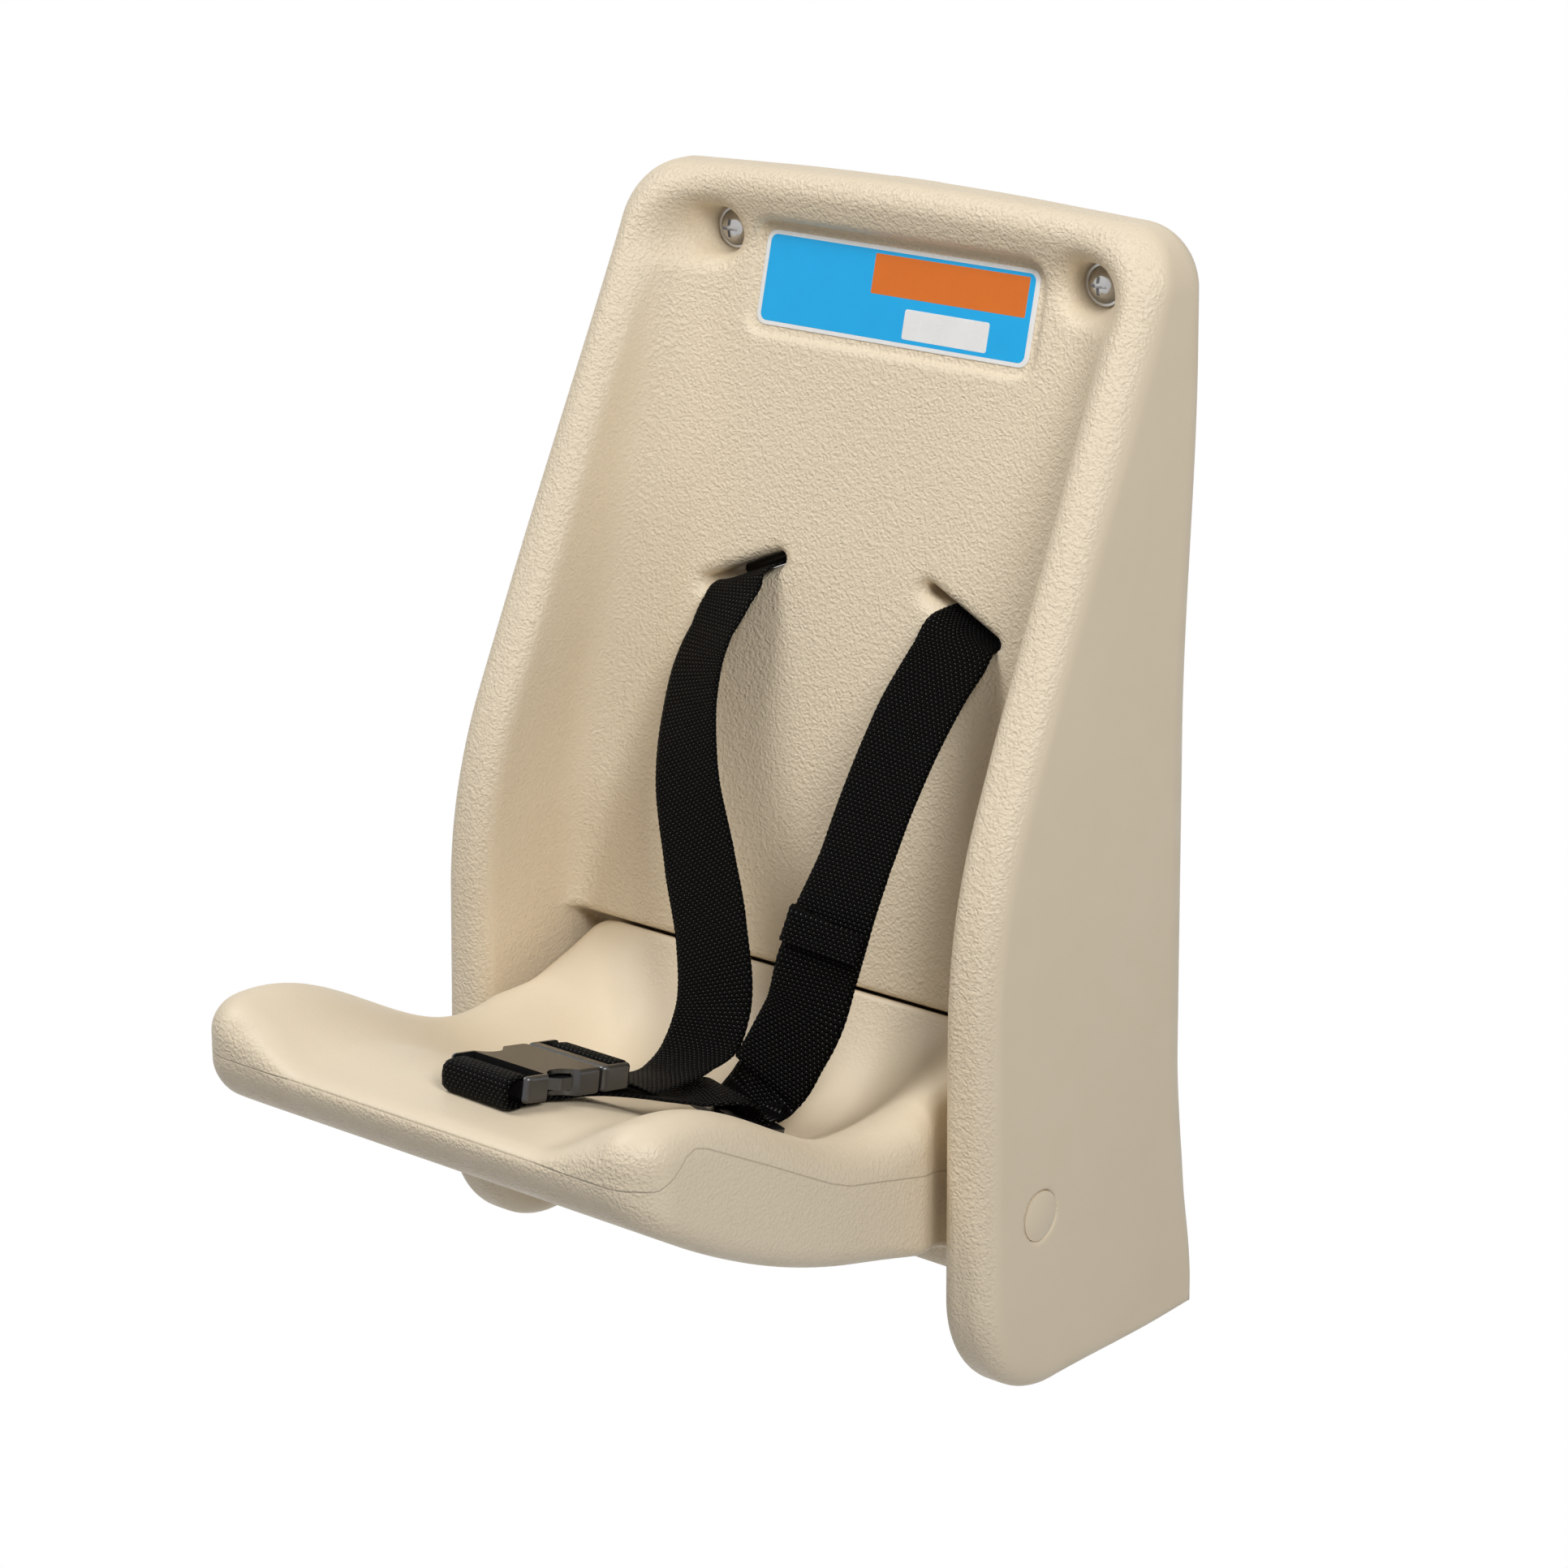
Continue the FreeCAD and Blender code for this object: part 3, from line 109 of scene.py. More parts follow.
RIB_HEIGHT = 48.5
RIB_HALF = (15.0, 3.5, 12.5)
RIB_ROUND = 1.0

# Seat
SEAT_HALF = 123.5
SEAT_REACH = 337.0
SEAT_FRONT_CORNER = 20.0
NECK_HALF = 116.0
NECK_START = 157.0
NECK_END = 139.0
NECK_BEND = 20.0
NECK_BACK = 40
BARREL_RADIUS = 70.3
PAN_HALF = 62
CREST_HALF = 110
UNDER_START = 135
UNDER_HEIGHT = 63
UNDER_SLOPE = 0.235
NOSE_START = 190
NOSE_RUN = 147
NOSE_RISE = 33.3
HEEL_BACK = 49.8
HEEL_TURN = 74.8
HEEL_FOOT = 36
REAR_EDGE = 1.5
REAR_CORNER = 7
REAR_CORNER_FADE = (105, 135)

# Screws, label and strap slots
SCREW_X = 100.0
SCREW_SEAT = 8.0
WELL_RADIUS = 10.5
WELL_FLARE = 0.45
WELL_FLARE_START = 12
WELL_ROUND = 9.0
LOWER_SCREW_X = 75.0
LOWER_SCREW_HEIGHT = 18.0
LOWER_SCREW_SEAT = 20.0
LOWER_WELL_RADIUS = 9.6
LABEL_HALF = 74.0
LABEL_TALL = 21.0
LABEL_HEIGHT = 439.0
LABEL_SINK = 2.4
LABEL_MARGIN = 4.0
LABEL_CORNER = 5.0
BED_ROUND = 2.4
BED_FLOOR_ROUND = 0.6
SLOT_X = 60.0
STRAP_SHIFT = 3.5
STRAP_DROP = 2.2
SLOT_HEIGHT = 312.0
SLOT_SLANT = math.radians(24.0)
SLOT_LENGTH = 46.5
SLOT_TALL = 6.0
SLOT_BACK = 10
SLOT_ROUND = 6.0
ANCHOR_HALF = 95.0
ANCHOR_TALL = 38.0
ANCHOR_CORNER = 10.0
ANCHOR_DEPTH = 24.0
ANCHOR_ROUND = 1.5


def place(x, depth, height):
    """A point of the frame, in metres."""
    return Vector((x / 1000, -depth / 1000, (height - SCREW_HEIGHT) / 1000))


# Solid shaping with distance fields, in millimetres
def round_max(a, b, r):
    """Both at once, with the edge between them rounded by r."""
    inner = np.minimum(np.maximum(a, b), -r)
    return inner + np.hypot(np.maximum(a + r, 0), np.maximum(b + r, 0))


def round_min(a, b, r):
    """Either of two, with the corner between them filled by r."""
    return -round_max(-a, -b, r)


def smooth(value, low, high):
    share = np.clip((value - low) / (high - low), 0, 1)
    return share * share * (3 - 2 * share)


def outline(corners, step=4.0):
    """Points round a shape given by corners (a, b, radius)."""
    points = []
    count = len(corners)
    for i, (a, b, radius) in enumerate(corners):
        here = np.array([a, b])
        before = np.array(corners[i - 1][:2]) - here
        after = np.array(corners[(i + 1) % count][:2]) - here
        before = before / np.linalg.norm(before)
        after = after / np.linalg.norm(after)
        if radius == 0:
            points.append(here)
            continue
        half = math.acos(np.clip(before @ after, -1, 1)) / 2
        middle = before + after
        middle = middle / np.linalg.norm(middle)
        centre = here + middle * (radius / math.sin(half))
        start = here + before * (radius / math.tan(half)) - centre
        end = here + after * (radius / math.tan(half)) - centre
        sweep = math.pi - 2 * half
        turns = max(3, int(radius * sweep / step) + 1, int(math.degrees(sweep) / 5) + 1)
        for k in range(turns + 1):
            t = k / turns
            bow = math.sin((1 - t) * sweep) * start + math.sin(t * sweep) * end
            points.append(centre + bow / math.sin(sweep))
    return np.array(points)


def mirrored(corners):
    """Outline from the corners of its right half."""
    return outline(corners + [(-a, b, r) for a, b, r in reversed(corners)])


def outside(a, b, points):
    """Signed distance from a closed outline, below zero inside it."""
    shape = np.broadcast(a, b).shape
    nearest = np.full(shape, 1e12)
    within = np.zeros(shape, bool)
    for p, q in zip(points, np.roll(points, -1, axis=0)):
        run = q - p
        wa = a - p[0]
        wb = b - p[1]
        t = np.clip((wa * run[0] + wb * run[1]) / (run @ run), 0, 1)
        nearest = np.minimum(nearest, (wa - t * run[0]) ** 2 + (wb - t * run[1]) ** 2)
        if p[1] != q[1]:
            spans = (p[1] > b) != (q[1] > b)
            within = within ^ (spans & (wa < run[0] * wb / run[1]))
    return np.sqrt(nearest) * np.where(within, -1, 1)


def rounded_box(a, b, half_a, half_b, corner):
    """Signed distance from a round-cornered rectangle."""
    qa = np.abs(a) - half_a + corner
    qb = np.abs(b) - half_b + corner
    return np.hypot(np.maximum(qa, 0), np.maximum(qb, 0)) + np.minimum(np.maximum(qa, qb), 0) - corner


def skin(field, low, high, step):
    """Points and four-sided faces over the surface where a field changes sign."""
    lines = [np.arange(a, b + step, step) for a, b in zip(low, high)]
    values = field(lines[0][:, None, None], lines[1][None, :, None], lines[2][None, None, :])
    cells = tuple(n - 1 for n in values.shape)
    total = np.zeros((int(np.prod(cells)), 3))
    count = np.zeros(int(np.prod(cells)))
    quads = []
    for axis in range(3):
        near = np.take(values, range(values.shape[axis] - 1), axis)
        far = np.take(values, range(1, values.shape[axis]), axis)
        edges = np.argwhere((near < 0) != (far < 0))
        at_near = near[tuple(edges.T)]
        at_far = far[tuple(edges.T)]
        crossing = edges.astype(float)
        crossing[:, axis] += at_near / (at_near - at_far)
        u = (axis + 1) % 3
        v = (axis + 2) % 3
        inner = np.all([(edges[:, w] > 0) & (edges[:, w] < cells[w]) for w in (u, v)], axis=0)
        edges = edges[inner]
        crossing = crossing[inner]
        flip = at_near[inner] < 0
        around = []
        for du, dv in ((-1, -1), (0, -1), (0, 0), (-1, 0)):
            cell = edges.copy()
            cell[:, u] += du
            cell[:, v] += dv
            index = np.ravel_multi_index(tuple(cell.T), cells)
            around.append(index)
            for w in range(3):
                total[:, w] += np.bincount(index, crossing[:, w], len(count))
            count += np.bincount(index, None, len(count))
        ring = np.stack(around, 1)
        ring[flip] = ring[flip][:, ::-1]
        quads.append(ring)
    used = np.flatnonzero(count)
    number = np.full(len(count), -1)
    number[used] = np.arange(len(used))
    points = total[used] / count[used][:, None] * step + np.array(low)
    return points, number[np.concatenate(quads)]


def settle(points, field, rounds=2, probe=0.25):
    """Draws points onto the surface of a field."""
    for _ in range(rounds):
        here = field(*points.T)
        slope = np.stack([
            field(*(points + probe * np.eye(3)[w]).T) - here for w in range(3)
        ], 1) / probe
        move = here[:, None] * slope / np.maximum((slope ** 2).sum(1), 0.2)[:, None]
        length = np.linalg.norm(move, axis=1)[:, None]
        points = points - move * np.minimum(1, 1.0 / np.maximum(length, 1e-9))
    return points


def mesh_object(name, points, faces, material, smooth_faces=True):
    """A mesh piece from points in metres."""
    mesh = bpy.data.meshes.new(name)
    mesh.from_pydata([tuple(p) for p in points], [], [tuple(int(i) for i in f) for f in faces])
    mesh.update()
    if smooth_faces:
        mesh.polygons.foreach_set("use_smooth", np.ones(len(mesh.polygons), bool))
    if material:
        mesh.materials.append(material)
    piece = bpy.data.objects.new(name, mesh)
    bpy.context.scene.collection.objects.link(piece)
    return piece


def to_frame(points):
    return np.stack([points[:, 0], -points[:, 1], points[:, 2] - SCREW_HEIGHT], 1) / 1000


def moulded(name, field, low, high, step, material, grain):
    """A skin over a field, with the strength of its moulded grain at each point."""
    points, faces = skin(field, low, high, step)
    points = settle(points, field)
    probe = 0.5
    slope = np.stack([field(*(points + probe * np.eye(3)[w]).T) - field(*points.T) for w in range(3)], 1)
    slope /= np.maximum(np.linalg.norm(slope, axis=1), 1e-9)[:, None]
    piece = mesh_object(name, to_frame(points), faces, material)
    layer = piece.data.attributes.new("grain", "FLOAT", "POINT")
    layer.data.foreach_set("value", grain(points, slope))
    return piece, points


# Node materials
def new_material(name):
    material = bpy.data.materials.new(name)
    material.use_nodes = True
    nodes = material.node_tree.nodes
    links = material.node_tree.links
    return material, nodes, links, nodes["Principled BSDF"]


def scaled_noise(nodes, links, source, scale, detail, roughness=0.5):
    noise = nodes.new("ShaderNodeTexNoise")
    noise.inputs["Scale"].default_value = scale
    noise.inputs["Detail"].default_value = detail
    noise.inputs["Roughness"].default_value = roughness
    links.new(source, noise.inputs["Vector"])
    return noise.outputs["Fac"]


def ramp(nodes, links, source, stops):
    node = nodes.new("ShaderNodeValToRGB")
    band = node.color_ramp
    while len(band.elements) < len(stops):
        band.elements.new(0.5)
    for element, (spot, colour) in zip(band.elements, stops):
        element.position = spot
        element.color = colour
    links.new(source, node.inputs["Fac"])
    return node.outputs["Color"]


def moulded_plastic(name, line=None):
    """Cream moulded plastic with a leathery grain, and a parting line where the piece has one, grooved in the
    bump and darkened with painted shade.

    The piece's "grain" attribute sets how deep the grain is.
    """
    material, nodes, links, shader = new_material(name)
    where = nodes.new("ShaderNodeTexCoord").outputs["Object"]
    warp = nodes.new("ShaderNodeTexNoise")
    warp.inputs["Scale"].default_value = 330
    links.new(where, warp.inputs["Vector"])
    bend = nodes.new("ShaderNodeVectorMath")
    bend.operation = "MULTIPLY_ADD"
    bend.inputs[1].default_value = (0.0035, 0.0035, 0.0035)
    links.new(warp.outputs["Color"], bend.inputs[0])
    links.new(where, bend.inputs[2])
    cells = nodes.new("ShaderNodeTexVoronoi")
    cells.feature = "SMOOTH_F1"
    cells.inputs["Scale"].default_value = 620
    cells.inputs["Smoothness"].default_value = 0.5
    links.new(bend.outputs[0], cells.inputs["Vector"])
    fine = scaled_noise(nodes, links, where, 900, 2)
    mix = nodes.new("ShaderNodeMath")
    mix.operation = "MULTIPLY_ADD"
    mix.inputs[1].default_value = 0.5
    links.new(fine, mix.inputs[0])
    links.new(cells.outputs["Distance"], mix.inputs[2])
    tint = scaled_noise(nodes, links, where, 14, 4)
    colour = ramp(nodes, links, tint, [(0.3, (0.755, 0.64, 0.47, 1)), (0.7, (0.775, 0.66, 0.49, 1))])
    wear = scaled_noise(nodes, links, where, 60, 5)
    gloss = ramp(nodes, links, wear, [(0.3, (0.42, 0.42, 0.42, 1)), (0.7, (0.52, 0.52, 0.52, 1))])
    links.new(gloss, shader.inputs["Roughness"])
    bump = nodes.new("ShaderNodeBump")
    bump.inputs["Distance"].default_value = 0.00055
    depth = nodes.new("ShaderNodeAttribute")
    depth.attribute_name = "grain"
    links.new(depth.outputs["Fac"], bump.inputs["Strength"])
    if line:
        read = nodes.new("ShaderNodeAttribute")
        read.attribute_name = line
        size = nodes.new("ShaderNodeMath")
        size.operation = "ABSOLUTE"
        links.new(read.outputs["Fac"], size.inputs[0])
        inside = nodes.new("ShaderNodeAttribute")
        inside.attribute_name = "inside"
        far = nodes.new("ShaderNodeMath")
        links.new(size.outputs[0], far.inputs[0])
        links.new(inside.outputs["Fac"], far.inputs[1])
        edge = nodes.new("ShaderNodeMapRange")
        edge.inputs["From Min"].default_value = 0.15
        edge.inputs["From Max"].default_value = 0.5
        links.new(far.outputs[0], edge.inputs["Value"])
        # Painted shade: the parting line is coloured darker, in place of the shading of its seam.
        painted_seam_shade = nodes.new("ShaderNodeMix")
        painted_seam_shade.data_type = "RGBA"
        links.new(edge.outputs["Result"], painted_seam_shade.inputs["Factor"])
        painted_seam_shade.inputs["A"].default_value = (0.55, 0.46, 0.33, 1)
        links.new(colour, painted_seam_shade.inputs["B"])
        colour = painted_seam_shade.outputs["Result"]
        sink = nodes.new("ShaderNodeMath")
        sink.operation = "MULTIPLY_ADD"
        sink.inputs[1].default_value = 0.6
        links.new(edge.outputs["Result"], sink.inputs[0])
        links.new(mix.outputs[0], sink.inputs[2])
        links.new(sink.outputs[0], bump.inputs["Height"])
    else:
        links.new(mix.outputs[0], bump.inputs["Height"])
    links.new(colour, shader.inputs["Base Color"])
    links.new(bump.outputs["Normal"], shader.inputs["Normal"])
    return material


def webbing_material(name):
    """Black woven webbing, its weave laid along the strap, with painted highlights on the peaks of the weave."""
    material, nodes, links, shader = new_material(name)
    where = nodes.new("ShaderNodeTexCoord").outputs["UV"]
    split = nodes.new("ShaderNodeSeparateXYZ")
    links.new(where, split.inputs[0])

    def wave(source, pitch):
        turn = nodes.new("ShaderNodeMath")
        turn.operation = "MULTIPLY"
        turn.inputs[1].default_value = 2 * math.pi / pitch
        links.new(source, turn.inputs[0])
        sine = nodes.new("ShaderNodeMath")
        sine.operation = "SINE"
        links.new(turn.outputs[0], sine.inputs[0])
        return sine.outputs[0]

    across = split.outputs["X"]
    along = split.outputs["Y"]
    warp = wave(across, 0.0024)
    weft = wave(along, 0.0034)
    cross = nodes.new("ShaderNodeMath")
    cross.operation = "MULTIPLY"
    links.new(warp, cross.inputs[0])
    links.new(weft, cross.inputs[1])
    quarter = nodes.new("ShaderNodeMath")
    quarter.inputs[1].default_value = 0.000425
    links.new(along, quarter.inputs[0])
    rows = wave(quarter.outputs[0], 0.0017)
    height = nodes.new("ShaderNodeMath")
    height.operation = "MULTIPLY_ADD"
    height.inputs[1].default_value = -0.6
    links.new(rows, height.inputs[0])
    links.new(cross.outputs[0], height.inputs[2])
    fibre = scaled_noise(nodes, links, where, 1900, 3)
    rough = nodes.new("ShaderNodeMath")
    rough.operation = "MULTIPLY_ADD"
    rough.inputs[1].default_value = 0.7
    links.new(fibre, rough.inputs[0])
    links.new(height.outputs[0], rough.inputs[2])
    bump = nodes.new("ShaderNodeBump")
    bump.inputs["Strength"].default_value = 1.0
    bump.inputs["Distance"].default_value = 0.0006
    links.new(rough.outputs[0], bump.inputs["Height"])
    links.new(bump.outputs["Normal"], shader.inputs["Normal"])
    # Painted highlight: the weave's peaks are coloured light grey, in place of glints on the yarn.
    painted_yarn_highlight = nodes.new("ShaderNodeMapRange")
    painted_yarn_highlight.inputs["From Min"].default_value = 0.8
    painted_yarn_highlight.inputs["From Max"].default_value = 2.0
    links.new(rough.outputs[0], painted_yarn_highlight.inputs["Value"])
    colour = ramp(nodes, links, painted_yarn_highlight.outputs[0], [
        (0.0, (0.0006, 0.0006, 0.0005, 1)),
        (0.6, (0.002, 0.0019, 0.0018, 1)),
        (0.95, (0.12, 0.115, 0.105, 1)),
    ])
    links.new(colour, shader.inputs["Base Color"])
    shader.inputs["Roughness"].default_value = 0.55
    shader.inputs["Specular IOR Level"].default_value = 0.05
    return material


def hard_plastic(name, dark, light, low, high, relief=0.12):
    """Smooth moulded plastic with faint mottling and a fine surface."""
    material, nodes, links, shader = new_material(name)
    where = nodes.new("ShaderNodeTexCoord").outputs["Object"]
    tint = scaled_noise(nodes, links, where, 90, 4)
    links.new(ramp(nodes, links, tint, [(0.3, dark + (1,)), (0.7, light + (1,))]), shader.inputs["Base Color"])
    gloss = scaled_noise(nodes, links, where, 240, 3)
    links.new(ramp(nodes, links, gloss, [(0.3, (low, low, low, 1)), (0.7, (high, high, high, 1))]),
              shader.inputs["Roughness"])
    bump = nodes.new("ShaderNodeBump")
    bump.inputs["Strength"].default_value = relief
    bump.inputs["Distance"].default_value = 0.0002
    links.new(scaled_noise(nodes, links, where, 700, 2), bump.inputs["Height"])
    links.new(bump.outputs["Normal"], shader.inputs["Normal"])
    return material


def metal(name, colour, low, high):
    """Plated steel with faint scratches in its polish."""
    material, nodes, links, shader = new_material(name)
    where = nodes.new("ShaderNodeTexCoord").outputs["Object"]
    scratch = scaled_noise(nodes, links, where, 800, 6)
    links.new(ramp(nodes, links, scratch, [(0.3, (low, low, low, 1)), (0.75, (high, high, high, 1))]),
              shader.inputs["Roughness"])
    tint = scaled_noise(nodes, links, where, 200, 3)
    darker = tuple(c * 0.85 for c in colour)
    links.new(ramp(nodes, links, tint, [(0.3, darker + (1,)), (0.7, colour + (1,))]), shader.inputs["Base Color"])
    shader.inputs["Metallic"].default_value = 1.0
    return material


shell_plastic = moulded_plastic("shell_plastic")
seat_plastic = moulded_plastic("seat_plastic", "parting")
webbing = webbing_material("webbing")
black_plastic = hard_plastic("buckle_black", (0.008, 0.008, 0.008), (0.011, 0.01, 0.01), 0.21, 0.23, 0.01)
black_plastic.node_tree.nodes["Principled BSDF"].inputs["Specular IOR Level"].default_value = 0.9
nylon = hard_plastic("bush_nylon", (0.76, 0.75, 0.70), (0.82, 0.81, 0.77), 0.35, 0.5)
screw_metal = metal("screw_metal", (0.5, 0.49, 0.48), 0.12, 0.25)
zinc = metal("zinc_plate", (0.62, 0.62, 0.62), 0.28, 0.45)
# Anchor steel, darkened so that the strap slots in front of it show painted shade.
slot_shade_steel = metal("slot_shade_steel", (0.06, 0.06, 0.06), 0.4, 0.5)


# Back shell
def backrest(height):
    return BACKREST_TOP_DEPTH + BACKREST_SLOPE * (BACKREST_TOP - height)


def shell_field(x, depth, height):
    """Wedge with rounded edges, less its recess, wells, slots and beds, with ribs behind the heel."""
    bend = SHELL_HEIGHT - (SHELL_DEPTH - TOP_DEPTH) / RIM_LEAN
    crown = SHELL_HEIGHT + TOP_CROWN
    side_line = outline([
        (0, 0, 0), (SHELL_DEPTH, 0, FOOT_ROUND), (SHELL_DEPTH, bend, RIM_BEND), (TOP_DEPTH, SHELL_HEIGHT, 0),
        (TOP_DEPTH, crown, 0), (0, crown, 0),
    ])
    shoulder = SHELL_HEIGHT - TOP_CROWN
    shoulder_half = FOOT_HALF + (TOP_HALF - FOOT_HALF) * shoulder / SHELL_HEIGHT
    front_line = outline([
        (-FOOT_HALF - 1, BELOW_FOOT, 0), (FOOT_HALF + 1, BELOW_FOOT, 0), (shoulder_half, shoulder, TOP_CORNER),
        (0, SHELL_HEIGHT, TOP_ARCH), (-shoulder_half, shoulder, TOP_CORNER),
    ])
    waist = smooth(height, *WAIST_FOOT_FADE) * (1 - smooth(height, *WAIST_TOP_FADE))
    behind = BACK_FOOT_ROUND + (BACK_ROUND - BACK_FOOT_ROUND) * smooth(height, *BACK_FOOT_FADE)
    behind = behind + (BACK_WAIST_ROUND - BACK_ROUND) * waist
    ahead = RIM_ROUND + (TOP_RIM_ROUND - RIM_ROUND) * smooth(height, *TOP_RIM_FADE)
    back_end = FOOT_EDGE_END - (FOOT_EDGE_END - BACK_EDGE_END) * smooth(height, 0, FOOT_EDGE_TALL)
    edge = behind + (ahead - behind) * smooth(depth, BACK_EDGE_START, back_end)
    body = round_max(outside(depth, height, side_line), outside(x, height, front_line), edge)
    lean = 1 / math.hypot(1, BACKREST_SLOPE)
    rest = (depth - backrest(height)) * lean
    off_pivot = np.hypot(np.minimum(depth - PIVOT_DEPTH, 0), np.maximum(height - PIVOT_HEIGHT, 0))
    panel = round_max(rest, POCKET_RADIUS - off_pivot, LIP_ROUND)
    draft = FOOT_DRAFT + MIDDLE_DRAFT * smooth(height, *MIDDLE_DRAFT_FADE)
    draft = draft + TOP_DRAFT * smooth(height, *TOP_DRAFT_FADE)
    rim = np.minimum(SHELL_DEPTH, TOP_DEPTH + (SHELL_HEIGHT - height) * RIM_LEAN)
    inward = np.maximum(rim - depth, 0)
    side_wall = (outside(x, height, mirrored(RECESS_SIDE)) + draft * inward) / np.sqrt(1 + draft ** 2)
    upper_fillet = BACKREST_FILLET - TOP_FILLET_LOSS * smooth(height, *TOP_FILLET_FADE)
    fillet = POCKET_FILLET + LIP_FILLET * smooth(height, *LIP_FILLET_FADE)
    fillet = fillet + upper_fillet * smooth(height, *BACKREST_FILLET_FADE)
    space = round_max(-panel, side_wall, fillet)
    shell = round_max(body, -space, MOUTH_ROUND + MOUTH_TOP_ROUND * smooth(height, *MOUTH_FADE))
    for side in (-1, 1):
        shell = round_max(shell, -screw_well(x, depth, height, side), WELL_ROUND)
        shell = round_max(shell, -slot_hole(x, depth, height, side), SLOT_ROUND)
        shell = round_max(shell, -cap_well(x, depth, height, side), FIT_ROUND)
        shell = round_max(shell, -lower_well(x, depth, height, side), FIT_ROUND)
        shell = round_min(shell, stop_rib(x, depth, height, side), RIB_ROUND)
    shell = round_max(shell, -anchor_pocket(x, depth, height), ANCHOR_ROUND)
    return round_max(shell, -label_bed(x, depth, height), BED_ROUND)


def screw_well(x, depth, height, side):
    """Round well for an upper screw, flared to the outer side."""
    across = side * x - SCREW_X
    across = np.minimum(across, np.maximum(across - WELL_FLARE * np.maximum(depth - WELL_FLARE_START, 0), 0))
    off = np.hypot(across, height - SCREW_HEIGHT)
    return np.maximum(off - WELL_RADIUS, SCREW_SEAT - depth)


def lower_well(x, depth, height, side):
    off = np.hypot(x - side * LOWER_SCREW_X, height - LOWER_SCREW_HEIGHT)
    return np.maximum(off - LOWER_WELL_RADIUS, LOWER_SCREW_SEAT - depth)


def slot_axes(x, height, side):
    """Place along and across a strap slot."""
    dx = x - side * SLOT_X
    dh = height - SLOT_HEIGHT
    c = math.cos(SLOT_SLANT)
    s = -side * math.sin(SLOT_SLANT)
    return dx * c + dh * s, dh * c - dx * s


def slot_hole(x, depth, height, side):
    along, across = slot_axes(x, height, side)
    oval = rounded_box(along, across, SLOT_LENGTH / 2, SLOT_TALL / 2, SLOT_TALL / 2)
    return np.maximum(oval, SLOT_BACK - depth)


def cap_well(x, depth, height, side):
    off = np.hypot(depth - PIVOT_DEPTH, height - PIVOT_HEIGHT)
    return np.maximum(off - CAP_RADIUS - CAP_GAP, CAP_SEAT - side * x)


def stop_rib(x, depth, height, side):
    """Rib behind the seat's heel, which the open seat rests on."""
    across = np.abs(x - side * RIB_X) - RIB_HALF[0]
    deep = np.abs(depth - RIB_DEPTH) - RIB_HALF[1]
    tall = np.abs(height - RIB_HEIGHT) - RIB_HALF[2]
    return np.maximum(np.maximum(across, tall), deep)


def anchor_pocket(x, depth, height):
    hole = rounded_box(x, height - SLOT_HEIGHT, ANCHOR_HALF, ANCHOR_TALL, ANCHOR_CORNER)
    return np.maximum(hole, depth - ANCHOR_DEPTH)


def label_bed(x, depth, height):
    """Shallow bed for the label, square to the backrest."""
    lean = 1 / math.hypot(1, BACKREST_SLOPE)
    up = (height - LABEL_HEIGHT) * lean - (depth - backrest(LABEL_HEIGHT)) * BACKREST_SLOPE * lean
    out = (depth - backrest(height)) * lean
    bed = rounded_box(x, up, LABEL_HALF + LABEL_MARGIN, LABEL_TALL + LABEL_MARGIN, LABEL_CORNER + LABEL_MARGIN)
    return round_max(bed, -out - LABEL_SINK, BED_FLOOR_ROUND)


def shell_grain(points, normal):
    """Full on the faces turned to the front, fine on the outer sides."""
    front = smooth(normal[:, 1], 0.2, 0.7)
    within = smooth(FOOT_HALF - 24 - np.abs(points[:, 0]), 0, 6) * 0.55
    return 0.1 + 0.9 * np.maximum(front, within)


back, _ = moulded("shell_skin", shell_field, (-164, -6, -6), (164, 163, 494), 2.0, shell_plastic, shell_grain)
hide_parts("back_shell")
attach(back, "back")


# Seat
def saddle(depth, low_at, low, front_run, front_rise, back_run, back_rise, power):
    """Height of a line that dips to its lowest place and rises to the front and back."""
    share = np.clip((depth - low_at) / front_run, 0, 1)
    ahead = low + front_rise * (1 - np.cos(np.pi * share)) / 2
    behind = low + back_rise * np.maximum((low_at - depth) / back_run, 0) ** power
    return np.where(depth > low_at, ahead, behind)


def pan_height(depth):
    return saddle(depth, 155, 108, 155, 51.5, 58, 41.5, 2.2)


def crest_height(depth):
    return saddle(depth, 177, 128.4, 139, 50.6, 80, 16.6, 1.9)


def top_height(x, depth):
    blend = smooth(np.abs(x), PAN_HALF, CREST_HALF)
    return pan_height(depth) + (crest_height(depth) - pan_height(depth)) * blend


def under_height(depth):
    nose = NOSE_RISE * (np.maximum(depth - NOSE_START, 0) / NOSE_RUN) ** 2
    return UNDER_HEIGHT + UNDER_SLOPE * (depth - UNDER_START) + nose


def seat_plan():
    return mirrored([
        (NECK_HALF, NECK_BACK, 0), (NECK_HALF, NECK_END, NECK_BEND), (SEAT_HALF, NECK_START, NECK_BEND),
        (SEAT_HALF, SEAT_REACH, SEAT_FRONT_CORNER),
    ])


